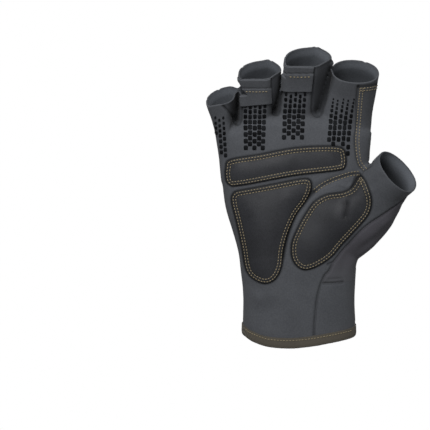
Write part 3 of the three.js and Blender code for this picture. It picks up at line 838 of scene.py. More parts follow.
def linear(code):
    """A colour such as 4b4d50 as linear red, green, blue and alpha."""
    parts = [int(code[i:i + 2], 16) / 255 for i in (0, 2, 4)]
    return tuple(p / 12.92 if p <= 0.04045 else ((p + 0.055) / 1.055) ** 2.4 for p in parts) + (1.0,)


def add(tree, kind, settings=None, **inputs):
    """A node with settings. Inputs are numbers, colours or the sockets of other nodes."""
    node = tree.nodes.new(kind)
    for key, value in (settings or {}).items():
        setattr(node, key, value)
    for key, value in inputs.items():
        by_number = key[0] == "_" and key[1:].isdigit()
        socket = node.inputs[int(key[1:]) if by_number else key.replace("_", " ")]
        if isinstance(value, bpy.types.NodeSocket):
            tree.links.new(value, socket)
        else:
            socket.default_value = value
    return node


def new_material(name, roughness, **sockets):
    material = bpy.data.materials.new(name)
    material.use_nodes = True
    shader = material.node_tree.nodes["Principled BSDF"]
    shader.inputs["Roughness"].default_value = roughness
    for key, value in sockets.items():
        shader.inputs[key.replace("_", " ")].default_value = value
    return material, material.node_tree, shader


def tint(tree, factor, dark, light):
    """A colour between two, by a factor."""
    ramp = add(tree, "ShaderNodeMix", {"data_type": "RGBA"}, _0=factor)
    ramp.inputs[6].default_value = linear(dark)
    ramp.inputs[7].default_value = linear(light)
    return ramp.outputs[2]


print("808080 is", round(linear("808080")[0], 3), "in linear light")

# %% [markdown]
# The shell is a suede-like microfibre: a fine non-woven of split fibres, sanded on its face. It has no
# shine, a soft bloom where the pile catches grazing light, and a faint cloudiness where the nap lies in
# different directions. The pile is about 0.2 mm, too fine for the render, so its grain is drawn at 0.45 mm.
# All cloth gets painted shade in its seams and folds: each point carries that shade in an attribute.

# %% Microfibre


def with_painted_shade(tree, colour):
    """A colour times the painted shade that each point carries."""
    shade = add(tree, "ShaderNodeAttribute", {"attribute_name": "shade"}).outputs["Fac"]
    product = add(tree, "ShaderNodeMix", {"data_type": "RGBA", "blend_type": "MULTIPLY"}, _0=1.0)
    tree.links.new(colour, product.inputs[6])
    tree.links.new(shade, product.inputs[7])
    return product.outputs[2]


def clouded(tree, place, fine, cloud_scale=55.0, share=0.45):
    """A factor that mixes a fine pattern with slow clouds."""
    cloud = add(tree, "ShaderNodeTexNoise", Vector=place, Scale=cloud_scale, Detail=4.0, Roughness=0.6)
    part = add(tree, "ShaderNodeMath", {"operation": "MULTIPLY"}, _0=cloud.outputs[0], _1=share)
    both = add(tree, "ShaderNodeMath", {"operation": "MULTIPLY_ADD"}, _0=fine, _1=1 - share,
               _2=part.outputs[0])
    return add(tree, "ShaderNodeMapRange", _0=both.outputs[0], _1=0.3, _2=0.7, _3=0.0, _4=1.0).outputs[0]


def covered(tree, shader, colour, height, strength, depth):
    """Gives a shader its colour and its bumps. depth is theirs in metres."""
    tree.links.new(with_painted_shade(tree, colour), shader.inputs["Base Color"])
    bump = add(tree, "ShaderNodeBump", Strength=strength, Distance=depth, Height=height)
    tree.links.new(bump.outputs[0], shader.inputs["Normal"])


def microfibre(name, dark, light, grain=0.45, sheen=0.05):
    material, tree, shader = new_material(name, 0.88, Sheen_Weight=sheen, Sheen_Roughness=0.5,
                                          Specular_IOR_Level=0.12)
    place = add(tree, "ShaderNodeTexCoord").outputs["Object"]
    nap = add(tree, "ShaderNodeTexNoise", Vector=place, Scale=1000 / grain / 2, Detail=2.0).outputs[0]
    covered(tree, shader, tint(tree, clouded(tree, place, nap), dark, light), nap, 0.35, 0.0002)
    return material


SHELL = microfibre("microfibre_shell", "414347", "4f5155")
# The lining is the same microfibre in a lighter tone, as painted light on the insides of the stalls.
LINING_PAINTED_LIGHT = microfibre("microfibre_lining_painted_light", "55585d", "62666c", sheen=0.02)
# The side walls between the fingers get the same microfibre in a darker tone, as painted shade.
SHADED_SIDE = microfibre("microfibre_side_painted_shade", "3d3f43", "494b4f", sheen=0.03)
print("microfibre:", SHELL.name, LINING_PAINTED_LIGHT.name, SHADED_SIDE.name)

# %% [markdown]
# Where the glove has to stretch, at the root of the thumb, it is a four-way knit of nylon and elastane. Its
# fine diagonal ribs lie 0.6 mm apart. The insert beside the wrist slit is elastic too, with coarse ribs
# across it.

# %% Stretch knit
FADE_LOW = 0.044  # metres above the hem, between which the knit passes into the shell's colour
FADE_HIGH = 0.058
FADE_COLOUR = "48494d"


def ribbed(tree, place, way, pitch):
    """Waves across a direction, one for each pitch in millimetres."""
    along = add(tree, "ShaderNodeVectorMath", {"operation": "DOT_PRODUCT"}, _0=place, _1=way)
    angle = add(tree, "ShaderNodeMath", {"operation": "MULTIPLY"}, _0=along.outputs["Value"],
                _1=2 * math.pi / (pitch * MM))
    sine = add(tree, "ShaderNodeMath", {"operation": "SINE"}, _0=angle.outputs[0])
    wave = add(tree, "ShaderNodeMath", {"operation": "MULTIPLY_ADD"}, _0=sine.outputs[0], _1=0.5, _2=0.5)
    return wave.outputs[0]


def knit(name, dark, light, way, pitch, depth, fade=False):
    """A ribbed knit. With fade, it passes softly into the shell's colour below the gusset."""
    material, tree, shader = new_material(name, 0.85, Sheen_Weight=0.06, Sheen_Roughness=0.6,
                                          Specular_IOR_Level=0.15)
    place = add(tree, "ShaderNodeTexCoord").outputs["Object"]
    ribs = ribbed(tree, place, way, pitch)
    colour = tint(tree, clouded(tree, place, ribs), dark, light)
    if fade:
        height = add(tree, "ShaderNodeSeparateXYZ", _0=place).outputs[2]
        share = add(tree, "ShaderNodeMapRange", _0=height, _1=FADE_LOW, _2=FADE_HIGH).outputs[0]
        blend = add(tree, "ShaderNodeMix", {"data_type": "RGBA"}, _0=share)
        blend.inputs[6].default_value = linear(FADE_COLOUR)
        tree.links.new(colour, blend.inputs[7])
        colour = blend.outputs[2]
    covered(tree, shader, colour, ribs, 0.5, depth)
    return material


STRETCH = knit("stretch_knit", "3f3e43", "4d4c52", (0.7, 0.1, 0.7), 0.6, 0.00012, fade=True)
RIBS_KNIT = knit("ribbed_elastic", "2f3034", "4d4e53", (0, 0, 1), 1.5, 0.0004)
print("knits:", STRETCH.name, RIBS_KNIT.name)

# %% [markdown]
# The palm patches are thin goat leather, dyed in the drum and rubbed with a little wax. The grain is a net
# of fine creases, about 0.7 mm apart, with a satin finish that is smoother where the palm rubs.

# %% Leather


def leather(name, dark, light):
    material, tree, shader = new_material(name, 0.6, Specular_IOR_Level=0.3)
    place = add(tree, "ShaderNodeTexCoord").outputs["Object"]
    cells = add(tree, "ShaderNodeTexVoronoi", {"feature": "DISTANCE_TO_EDGE"}, Vector=place, Scale=1400.0)
    grain = add(tree, "ShaderNodeMapRange", _0=cells.outputs[0], _1=0.0, _2=0.25, _3=0.0, _4=1.0).outputs[0]
    colour = tint(tree, clouded(tree, place, grain, 70.0, 0.6), dark, light)
    covered(tree, shader, colour, grain, 0.4, 0.00008)
    worn = add(tree, "ShaderNodeTexNoise", Vector=place, Scale=45.0, Detail=3.0).outputs[0]
    polish = add(tree, "ShaderNodeMapRange", _0=worn, _1=0.35, _2=0.7, _3=0.7, _4=0.5).outputs[0]
    tree.links.new(polish, shader.inputs["Roughness"])
    return material


LEATHER = leather("goat_leather", "202124", "2c2d31")
print("leather:", LEATHER.name)

# %% [markdown]
# The narrow goods are woven. The binding is an olive-brown ribbed tape with its ribs across it, 0.6 mm
# apart. The strap is a grey webbing whose thick weft shows as ribs 1.3 mm apart. The patch is a tape of
# nylon loops, which are teased out into a black fuzz.

# %% Tapes, webbing and loops


def woven(name, dark, light, way, pitch, depth, roughness=0.8):
    material, tree, shader = new_material(name, roughness, Specular_IOR_Level=0.2, Sheen_Weight=0.05)
    place = add(tree, "ShaderNodeTexCoord").outputs["Object"]
    ribs = ribbed(tree, place, way, pitch)
    yarn = add(tree, "ShaderNodeTexNoise", Vector=place, Scale=1600.0, Detail=2.0).outputs[0]
    weave = add(tree, "ShaderNodeMath", {"operation": "MULTIPLY_ADD"}, _0=yarn, _1=0.5, _2=ribs).outputs[0]
    half = add(tree, "ShaderNodeMath", {"operation": "MULTIPLY"}, _0=weave, _1=0.7).outputs[0]
    covered(tree, shader, tint(tree, clouded(tree, place, half, share=0.3), dark, light), weave, 0.6, depth)
    return material


def fuzz(name, dark, light):
    material, tree, shader = new_material(name, 1.0, Specular_IOR_Level=0.05, Sheen_Weight=0.1)
    place = add(tree, "ShaderNodeTexCoord").outputs["Object"]
    hair = add(tree, "ShaderNodeTexNoise", Vector=place, Scale=1100.0, Detail=4.0, Roughness=0.7).outputs[0]
    covered(tree, shader, tint(tree, clouded(tree, place, hair, 160.0), dark, light), hair, 1.0, 0.0006)
    return material


TAPE_CLOTH = woven("binding_tape", "423e37", "59544b", (1, 0.4, 0.2), 0.6, 0.00015)
WEBBING = woven("ribbed_webbing", "3f414b", "63656f", (1, 0, 0.04), 1.3, 0.0003, 0.7)
LOOPS = fuzz("nylon_loops", "060708", "17181c")
print("narrow goods:", TAPE_CLOTH.name, WEBBING.name, LOOPS.name)

# %% [markdown]
# The thread is bonded polyester of two plies in a dull gold, flecked at random with a darker and a lighter
# gold. The grips are screen-printed silicone, matt black, and a little greyer where they have rubbed.

# %% Thread and silicone


def twisted(name, dark, light):
    material, tree, shader = new_material(name, 0.6, Specular_IOR_Level=0.2)
    place = add(tree, "ShaderNodeTexCoord").outputs["Object"]
    plies = add(tree, "ShaderNodeTexNoise", Vector=place, Scale=2200.0, Detail=1.0).outputs[0]
    covered(tree, shader, tint(tree, plies, dark, light), plies, 0.3, 0.0001)
    return material


def rubber(name, new, worn):
    material, tree, shader = new_material(name, 0.75, Specular_IOR_Level=0.08)
    shade = add(tree, "ShaderNodeAttribute", {"attribute_name": "shade"}).outputs["Fac"]
    tree.links.new(tint(tree, shade, worn, new), shader.inputs["Base Color"])
    place = add(tree, "ShaderNodeTexCoord").outputs["Object"]
    dust = add(tree, "ShaderNodeTexNoise", Vector=place, Scale=900.0, Detail=2.0).outputs[0]
    bump = add(tree, "ShaderNodeBump", Strength=0.2, Distance=0.0001, Height=dust)
    tree.links.new(bump.outputs[0], shader.inputs["Normal"])
    return material


THREAD = twisted("gold_thread", "675c48", "9a8f75")
DARK_THREAD = twisted("dark_thread", "101113", "232427")
SILICONE = rubber("printed_silicone", "08080a", "202225")
print("thread and print:", THREAD.name, DARK_THREAD.name, SILICONE.name)

# %% [markdown]
# Shade gathers where light does not reach: in the seams, round the patches, under the flaps of the tabs and
# in the gaps between the fingers. The render gives some of it, and painted shade in the colour gives the
# rest.
# It is worked out here, for each point, as the product of what every dark line near it takes away.

# %% Outlines of what throws shade
PADS = {
    "bar_pad": [(-46.4, 111.4), (-46.4, 118.5), (-43.5, 123.8), (-24.1, 127.6), (-4.9, 131.4),
                (14.3, 132.7), (26, 131.8), (29, 127.4), (28.9, 119.8), (24, 117.4), (-4.8, 114),
                (-38.2, 107.5), (-44, 107.8)],
    "heel_pad": [(-42.7, 97), (-41.6, 102.4), (-37, 104.6), (-18, 108.4), (1.6, 112.2), (7, 111),
                 (7.4, 105.5), (4.3, 97.9), (-2.1, 88.8), (-7.1, 77.1), (-9.7, 66.6), (-10.9, 56.1),
                 (-14.7, 48.2), (-21.2, 44.9), (-29, 47.5), (-33.6, 53.4), (-36.2, 67.9), (-39.5, 83.6)],
    "thenar_pad": [(38.6, 114.3), (43.6, 105), (45.1, 96.9), (42.9, 89.1), (35.3, 79.5), (26.4, 68.8),
                   (20, 61.7), (9.7, 55.6), (2, 54.6), (-3.9, 60.4), (-4.8, 70.8), (-0.8, 81.3),
                   (4.2, 90.4), (9.3, 97.5), (17, 102.1), (27.2, 103.6), (33, 106.6)],
}
TAB_DEPTH = -10
TAB_STEP = {"pull_tab_ring": 169.5, "pull_tab_middle": 178.6}  # height where the loose flap begins
PULL_TABS = {
    "pull_tab_ring": [(-36.5, 158.3), (-18.6, 159.9), (-19.2, 169.6), (-18.9, 182), (-42, 182),
                      (-42, 170.4), (-37.1, 169.6)],
    "pull_tab_middle": [(-13, 167.6), (6.4, 167.6), (7.2, 178.7), (8.2, 190), (-13, 190)],
}
# line, the least light on it, and how far it reaches
CREASES = [
    ([(9.4, 104.5), (4, 98.4), (-2.1, 90.1), (-7.1, 77.1), (-10.3, 62)], 0.3, 2.2),
    ([(38.2, 115.2), (33, 114.8), (27.3, 113.3), (20.5, 110.9), (14.5, 107.9), (9.4, 104)], 0.4, 1.6),
    ([(35.4, 170.6), (42, 171), (51, 172.4)], 0.4, 1.6),
    ([(29.6, 97), (29.3, 92.5), (28.8, 88)], 0.55, 3.6),
]
# where the gap between two fingers is, the way along it, height where it starts
GAPS = [((-39.6, -9, 158), (0.06, -0.4, 0.9), 147), ((-13, -12, 163), (0.22, -0.4, 0.9), 151),
        ((15, -11, 164), (0.28, -0.4, 0.88), 151)]
GAP_WIDTH = 5
GAP_SHADE = 0.25
GAP_REACH = 12  # the shade of a gap is looked for this near to it, to the left and right
print("patches:", len(PADS), "tabs:", len(PULL_TABS), "creases:", len(CREASES), "gaps:", len(GAPS))

# %% [markdown]
# Each kind of dark line has its own small function. All of them answer with a share of the light between 0
# and 1, so they can be multiplied. Blender's ambient occlusion node would need a bake to be exported; a
# number on each point needs none and goes with the mesh.

# %% Shade
# Painted shade on the seams, darkening the colour along each seam line.
SEAM_SHADE = (0.2, 1.35, 0.15)  # the least light on a seam, how far it reaches and where it starts to


def ease(value, start, end):
    """From zero at the start to one at the end, softly."""
    share = np.clip((value - start) / (end - start), 0, 1)
    return share * share * (3 - 2 * share)


def pad_outline(name, count=110):
    return spline(PADS[name], count, closed=True)


def darkened(away, least, reach, start=0.25):
    """Painted shade of a dark line: one far from it, and the least value on it."""
    return least + (1 - least) * ease(away, start, reach)


# Painted shade in the gaps between the fingers, darkest on the plane where two stalls meet.
def gap_shade(places):
    shade = np.ones(len(places))
    for place, way, foot in GAPS:
        facing = np.array(Vector(TOUCH_SLANT).cross(Vector(way)).normalized())
        away = np.abs((places - place) @ facing)
        inside = ease(places[:, 2], foot - 3, foot + 5) * (np.abs(places[:, 0] - place[0]) < GAP_REACH)
        shade *= 1 - inside * (1 - darkened(away, GAP_SHADE, GAP_WIDTH))
    return shade


# Painted shade along the creases of the palm, on the palm side only.
def crease_shade(places):
    shade = np.ones(len(places))
    flat = places[:, [0, 2]]
    for line, least, reach in CREASES:
        away, _ = line_distance(flat, spline(line, FOLD_POINTS))
        shade *= np.where(places[:, 1] < 0, darkened(away, least, reach), 1)
    return shade


def under_shade(places):
    """The painted shadow that the patches and the flaps throw on the fabric round them."""
    shade = np.ones(len(places))
    for name in PADS:
        away = -region_field(places, pad_outline(name))
        shade *= np.where(places[:, 1] < 0, darkened(away, 0.3, 1.5, 0.0), 1)
    for name, outline in PULL_TABS.items():
        away = -region_field(places, outline)
        below = (places[:, 1] < TAB_DEPTH) & (places[:, 2] < TAB_STEP[name] - 2)
        shade *= np.where(below, darkened(away, 0.35, 1.3, 0.0), 1)
    return shade


def panel_shade(places):
    seams = darkened(seam_distance(places), *SEAM_SHADE)
    return seams * crease_shade(places) * under_shade(places) * gap_shade(places)


print("light that is left on a seam:", SEAM_SHADE[0])

# %% [markdown]
# Now the eleven panels of the shell become objects. The outer skin shows the fabric and the inner skin the
# lining, so each panel has two materials. The lining gets painted shade that deepens the further it lies
# inside a stall, and the fabric gets thinner towards an open end, where it is pressed and topstitched.

# %% The panels
PANEL_CLOTH = {"rib_insert": RIBS_KNIT, "thumb_gusset": STRETCH}
PANEL_CLOTH.update({name: SHADED_SIDE for name in FOURCHETTES})
END_WALL = 0.62  # a wall is this share of its thickness at an open end
# Painted shade in the linings: the DEEP values are the light left where a lining is deepest, and LINING_RUN
# says where that shade starts and ends.
DEEP_THUMB = 0.18  # light at the far end of what shows of a lining
DEEP_INDEX = 0.5
DEEP_FINGERS = 0.75
END_RUN = 6  # over this length below an open end a wall gets its full thickness
LINING_RUN = (1, 12)  # below an open end, where a lining starts to get darker and where it is darkest
THUMB_SIDE = 18  # x to the right of which the index and the thumb are
# Painted shade on the side walls at their open ends, where the rim would catch the light.
SIDE_DARK = 0.7  # light on a side wall at its open end

for name, cloth in panels.items():
    below_end = cloth[2][:, FIELD["below_end"]]
    wall = WALL * (END_WALL + (1 - END_WALL) * ease(below_end, 0, END_RUN))
    inner = plain_panels[name][0] - unit(cloth[2][:, :3]) * wall[:, None]
    points, faces, marks = thick(cloth[0], inner, cloth[1], rim_bulge(cloth))
    # Painted shade on the outer skin: seams, creases, shadows round the patches and flaps, and the gaps
    # between the fingers.
    shade = panel_shade(cloth[0])
    # The side walls get more painted shade towards their open ends.
    if name in FOURCHETTES:
        shade *= SIDE_DARK + (1 - SIDE_DARK) * ease(below_end, 0, 2.5)
    # The lining gets painted shade that deepens inside the stall, most in the thumb.
    on_thumb_side = DEEP_THUMB if name == "thumb_stall" else DEEP_INDEX
    deep = np.where(cloth[0][:, 0] > THUMB_SIDE, on_thumb_side, DEEP_FINGERS)
    shade_inside = 1 - (1 - deep) * ease(below_end, *LINING_RUN)
    finish_piece(name + "_cloth", points, faces, name,
                 (PANEL_CLOTH.get(name, SHELL), LINING_PAINTED_LIGHT), (marks == 1).astype(int),
                 shade=np.concatenate([shade, shade_inside]))

# %% [markdown]
# Whatever is sewn on the shell, such as a padded patch, a tab, a strap or a binding, starts from the skin
# below it. The skin inside the piece's outline is cut out, made finer, and lifted off by a height that each
# piece works out from the distance to its own edge. So every piece lies on the glove by itself.

# %% Lay a piece on the skin


def refined(cloth):
    """The same cloth with each triangle divided into four."""
    places, tris, data = cloth
    edges = edges_of(tris)
    key = edges[:, 0] * len(places) + edges[:, 1]

    def middle(a, b):
        return len(places) + np.searchsorted(key, np.minimum(a, b) * len(places) + np.maximum(a, b))

    a, b, c = tris.T
    ab, bc, ca = middle(a, b), middle(b, c), middle(c, a)
    finer = np.vstack([np.column_stack(t) for t in ((a, ab, ca), (ab, b, bc), (ca, bc, c), (ab, bc, ca))])
    return (np.vstack([places, (places[edges[:, 0]] + places[edges[:, 1]]) / 2]), finer,
            np.vstack([data, (data[edges[:, 0]] + data[edges[:, 1]]) / 2]))


def patch_of_skin(low, high, side, refine=1):
    """The skin inside a box of the front view, on the palm or on the back, made finer."""
    places, tris, data = whole
    middle = places[tris].mean(1)
    facing = data[tris, 1].mean(1)
    taken = (middle[:, 0] > low[0]) & (middle[:, 0] < high[0])
    taken &= (middle[:, 2] > low[1]) & (middle[:, 2] < high[1])
    if side == "palm":
        taken &= (facing < 0.35) & (middle[:, 1] < 3)
    elif side == "back":
        taken &= (facing > -0.35) & (middle[:, 1] > -12)
    kept = tris[taken]
    used = np.unique(kept)
    number = np.full(len(places), -1)
    number[used] = np.arange(len(used))
    cloth = (places[used], number[kept], data[used])
    for _ in range(refine):
        cloth = refined(cloth)
    return cloth


def laid(cloth, fields, lift, base, bulge):
    """A layer on the skin where all fields are above zero. lift and base are its top and underside."""
    for field in fields:
        column = cloth[2].shape[1]
        cloth = (cloth[0], cloth[1], np.column_stack([cloth[2], field(cloth[0], cloth[2])]))
        cloth, _ = cut(cloth, cloth[2][:, column])
    cloth = without_crumbs(cloth)
    places, tris, data = cloth
    normals = unit(data[:, :3])
    outer = places + normals * lift(places, data, tris)[:, None]
    inner = places + normals * base(places)[:, None]
    return outer, inner, tris, thick(outer, inner, tris, bulge(places))


def everywhere(value):
    return lambda places, *_: np.full(len(places), float(value))


print("the skin has", len(whole[1]), "triangles to lay pieces on")

# %% [markdown]
# The padded patches are leather over foam. Each has a flat border where the two rows of stitches run, a
# narrow valley inside them where the thread pulls the leather down, and a crowned middle where the foam
# fills it. The height is read off a small table by the distance from the patch's edge.

# %% Padded patches
# distance from the edge, height above the palm
PAD_PROFILE = [(0, 0.6), (0.35, 0.95), (0.8, 1.15), (1.15, 1.0), (2, 1.25), (2.85, 1.0), (3.4, 1.05),
               (5, 1.9), (7, 2.7), (10, 3.4), (14, 3.8), (20, 4), (30, 4.1)]
PAD_BASE = 0.06
PAD_BORDER = 3.3  # up to here the height stays as the profile says, and further in it is smoothed
PAD_ROUNDS = 260
pad_trees = []


def crown(edge_distance, tris):
    """The height of each point of a pad: the profile, with its ridges and corners smoothed out."""
    profile = np.array(PAD_PROFILE)
    height = np.interp(edge_distance, profile[:, 0], profile[:, 1])
    edges = edges_of(tris)
    a, b = np.concatenate([edges, edges[:, ::-1]]).T
    count = np.bincount(a, minlength=len(height))
    free = ease(edge_distance, PAD_BORDER, PAD_BORDER + 1)
    for _ in range(PAD_ROUNDS):
        around = np.bincount(a, height[b], len(height)) / count
        height += free * (around - height)
    return height


for name in PADS:
    outline = pad_outline(name)
    cloth = patch_of_skin(outline.min(0) - 2, outline.max(0) + 2, "palm")
    outer, inner, tris, (points, faces, _) = laid(
        cloth, [lambda p, _: region_field(p, outline)], lambda p, data, tris: crown(data[:, -1], tris),
        everywhere(PAD_BASE), everywhere(0.9))
    edge = region_field(outer, outline)
    # Painted shade on the patch: dark at its edge, in the valley between its two rows of stitches and along
    # the creases, and dark on its underside.
    rows_shade = 1 - 0.35 * np.exp(-(((edge - 2) / 1.3) ** 2))
    shade = np.full(len(points), 0.25)
    shade[:len(outer)] = darkened(edge, 0.25, 0.9, 0.1) * rows_shade * crease_shade(outer)
    made = finish_piece(name + "_leather", points, faces, name, (LEATHER,), shade=shade)
    pad_trees.append(BVHTree.FromPolygons(outer.tolist(), tris.tolist()))
    print(name, len(faces), "faces")

# %% [markdown]
# Two fingers have a pull tab: a folded band sewn across the stall, whose lower half is a loose flap. The
# band lies flat near the stall's end and steps up to the double thickness of the flap. It is straighter
# than the fabric under it, so it is not cut from the melted skin but from the stall's own loft, which has
# no swells.

# %% Pull tabs
TAB_END = 0.12  # how far below the open end the band stops
TAB_WRAP = 2.4  # how far the band reaches round the side of its stall
TAB_FLAT = 0.5  # height of the band above the stall
TAB_FLAP = 1.6  # height of the flap
TAB_UNDER = -0.4
PROBE_STEP = 5  # every so many points the skin's height above the loft is measured
tab_trees = []


def patch_of_stall(finger):
    """The upper part of a stall's loft, at the mean height of the skin that was made from it."""
    rings = np.array(stall_rings(FINGERS[finger], np.array([1.0, 0, 0]), SQUARE[finger]))[LOFT_STEPS:]
    layers, count = rings.shape[:2]
    start = (np.arange(layers - 1)[:, None] * count + np.arange(count)).ravel()
    beside = (np.arange(layers - 1)[:, None] * count + (np.arange(count) + 1) % count).ravel()
    tris = np.vstack([np.column_stack([start, beside + count, beside]),
                      np.column_stack([start, start + count, beside + count])])
    places = rings.reshape(-1, 3)
    normals = normals_of(places, tris)
    gaps = []
    for place, normal in zip(places[::PROBE_STEP], normals[::PROBE_STEP]):
        if normal[1] < -0.8:
            gaps.append((np.array(skin_tree.find_nearest(place)[0]) - place) @ normal)
    print(finger, "skin against loft:", round(float(np.median(gaps)), 2), "mm")
    cloth = (places + normals * np.median(gaps), tris, normals)
    return refined(refined(cloth))


for name, corners in PULL_TABS.items():
    outline = np.array(corners, float)
    finger = name.removeprefix("pull_tab_")
    cloth = patch_of_stall(finger)
    step = TAB_STEP[name]
    (y_low, z_low, ahead_low), (y_high, z_high, ahead_high) = (
        (row[1], row[2], row[5]) for row in FINGERS[finger][-2:])
    slope = (y_high - ahead_high - y_low + ahead_low) / (z_high - z_low)

    def front_of(z):
        return y_low - ahead_low + slope * (z - z_low)

    outer, inner, tris, (points, faces, _) = laid(
        cloth, [lambda p, _: region_field(p, outline),
                lambda p, _: front_of(p[:, 2]) + TAB_WRAP - p[:, 1],
                lambda p, _: stall_end_field(p) - TAB_END],
        lambda p, *_: TAB_FLAP - (TAB_FLAP - TAB_FLAT) * ease(p[:, 2], step - 0.3, step + 0.4),
        everywhere(TAB_UNDER), everywhere(0.5))
    # Painted shade along the step where the loose flap begins.
    shade = darkened(np.abs(outer[:, 2] - step), 0.35, 0.9, 0.1)
    finish_piece(name + "_cloth", points, faces, name, (SHELL,), shade=shade)
    tab_trees.append(BVHTree.FromPolygons(outer.tolist(), tris.tolist()))
    print(name, len(faces), "faces")

# %% [markdown]
# The hem and both edges of the slit are bound with tape that is folded over the raw edge. It is a little
# thicker than the fabric on both sides of it and round where it folds.

# %% Bindings
TAPE_WIDTH = 5.6
TAPE_LIFT = 0.65  # top of the tape above the fabric
TAPE_UNDER = -3.0  # its inner side, below the lining
SLIT_TAPE = [(38, -20), (38, 53.5), (34, 61.5), (28.6, 63.5), (22.8, 60.1), (20.8, 52.1), (20.6, 42.5),
             (19.8, 28.5), (17.4, 12.5), (14.4, -20)]


def above_fold(p, *_):
    return height_field(p, HEM) + TAPE_LIFT


cloth = patch_of_skin((-99, -8), (99, 26), "all")
outer, inner, tris, (points, faces, _) = laid(
    cloth, [above_fold, lambda p, _: TAPE_WIDTH - height_field(p, HEM),
            lambda p, _: np.maximum(-region_field(p, SLIT_TAPE), SLIT_DEPTH - p[:, 1])],
    lambda p, *_: TAPE_LIFT * (0.6 + 0.4 * ease(above_fold(p), 0, 1.6)),
    everywhere(TAPE_UNDER), lambda p: 0.5 * (above_fold(p) < 0.3))
finish_piece("hem_tape", points, faces, "wrist_binding", (TAPE_CLOTH,))
hem_tree = BVHTree.FromPolygons(outer.tolist(), tris.tolist())
print("hem tape", len(faces), "faces")

cloth = patch_of_skin((8, -8), (45, 70), "back")


def off_the_slit(p, *_):
    return TAPE_LIFT - region_field(p, SLIT)


outer, inner, tris, (points, faces, _) = laid(
    cloth, [above_fold, off_the_slit, lambda p, _: region_field(p, SLIT_TAPE),
            lambda p, _: p[:, 1] - SLIT_DEPTH],
    lambda p, *_: TAPE_LIFT * (0.6 + 0.4 * ease(np.minimum(above_fold(p), off_the_slit(p)), 0, 1.6)),
    everywhere(TAPE_UNDER), lambda p: 0.5 * (np.minimum(above_fold(p), off_the_slit(p)) < 0.3))
finish_piece("slit_tape", points, faces, "slit_binding", (TAPE_CLOTH,))
slit_tree = BVHTree.FromPolygons(outer.tolist(), tris.tolist())
print("slit tape", len(faces), "faces")

# %% [markdown]
# On the back of the wrist a woven strap crosses the slit and grips a fuzzy patch. Both are layers too. The
# strap runs over the patch and comes down to the fabric on the far side of the slit, under the binding.

# %% Strap and patch
STRAP_OUTLINE = [(35, 14.4), (29, 15.3), (10, 14), (-6, 12.9), (-10.5, 13.6), (-13, 16.2), (-13.5, 20),
                 (-13.5, 34), (-12.8, 37.4), (-10.2, 39.4), (-6, 39.9), (10, 41), (29, 42.1), (35, 42.1)]
STRAP_ROOT = 29
PATCH_OUTLINE = [(-50, 13.3), (19.4, 13.3), (19.4, 42.3), (-50, 42.3)]
PATCH_DEPTH = 9
FUZZ_TOP = 1.5
FUZZ_WAVE = 0.12  # how uneven the loops stand
STRAP_TOP = 3.4
STRAP_UNDER = 1.9
STRAP_DROP = (1.5, 1.6)  # how far its top and its underside come down at its root
ROOT_RUN = (STRAP_ROOT - 2, STRAP_ROOT + 2)

cloth = patch_of_skin((-52, 11), (22, 45), "back")
outer, inner, tris, (points, faces, _) = laid(
    cloth, [lambda p, _: region_field(p, PATCH_OUTLINE), lambda p, _: p[:, 1] - PATCH_DEPTH,
            lambda p, _: height_field(p, HEM) - TAPE_WIDTH - 0.3,
            lambda p, _: -0.3 - region_field(p, SLIT_TAPE)],
    lambda p, *_: FUZZ_TOP + FUZZ_WAVE * np.sin(9 * p[:, 0] + 5 * p[:, 2]) * np.sin(8 * p[:, 2]),
    everywhere(0.1), everywhere(0.6))
finish_piece("fuzzy_patch", points, faces, "loop_patch", (LOOPS,))
print("patch", len(faces), "faces")

cloth = patch_of_skin((-16, 10), (38, 45), "back")
outer, inner, tris, (points, faces, _) = laid(
    cloth, [lambda p, _: region_field(p, STRAP_OUTLINE), lambda p, _: p[:, 1] - 2],
    lambda p, *_: STRAP_TOP - STRAP_DROP[0] * ease(p[:, 0], *ROOT_RUN),
    lambda p, *_: STRAP_UNDER - STRAP_DROP[1] * ease(p[:, 0], *ROOT_RUN), everywhere(0.8))
finish_piece("webbing_strap", points, faces, "strap", (WEBBING,))
strap_tree = BVHTree.FromPolygons(outer.tolist(), tris.tolist())
print("strap", len(faces), "faces")

# %% [markdown]
# Thread is what tells a sewn thing from a moulded one. A stitch is a short piece of thread that comes out
# of the fabric, lies on it and goes in again. One stitch is modelled, as a six-sided thread with its two
# ends bent down, and a copy is laid along each row. The rows are drawn on the front or the back view and
# thrown onto whatever lies there, so a row on a pad lies on the pad.

# %% Rows on the surface
PITCH = 1.95
STITCH_LENGTH = 1.35
THREAD_RADIUS = 0.27
PAD_ROWS = (1.15, 2.85)  # from the edge of a patch
# along the stitch, radius, height above the fabric; as shares of the length and the radius
STITCH_FORM = [(-0.5, 0.6, -0.7), (-0.36, 0.95, 0.25), (0, 1.05, 0.65), (0.36, 0.95, 0.25), (0.5, 0.6, -0.7)]
THREAD_SIDES = 6
SAMPLE = 0.35  # distance between the points at which a row is thrown onto the surface
LEAP = 2.5  # a row ends where the surface does, when the line of sight leaps to something else
SOFTEN = 7  # normals are evened out over this many samples


def thrown(trees, x, z, side):
    """The first place that a line of sight meets, and its normal. Side is palm or back."""
    way = 1 if side == "palm" else -1
    best = None
    for tree in trees:
        place, normal, _, away = tree.ray_cast(Vector((x, -way * FAR, z)), Vector((0, way, 0)))
        if place is not None and (best is None or away < best[2]):
            best = (place, normal, away)
    return best


def shifted(line, step):
    """A flat line moved sideways by a step, to the left of the way that it runs."""
    way = unit(np.gradient(line, axis=0))
    return line + np.stack([-way[:, 1], way[:, 0]], axis=1) * step


def unbroken(places, normals):
    """The longest stretch of a row that has no leap in it."""
    breaks = np.flatnonzero(np.linalg.norm(np.diff(places, axis=0), axis=1) > LEAP) + 1
    longest = max(np.split(np.arange(len(places)), breaks), key=len)
    return places[longest], normals[longest]


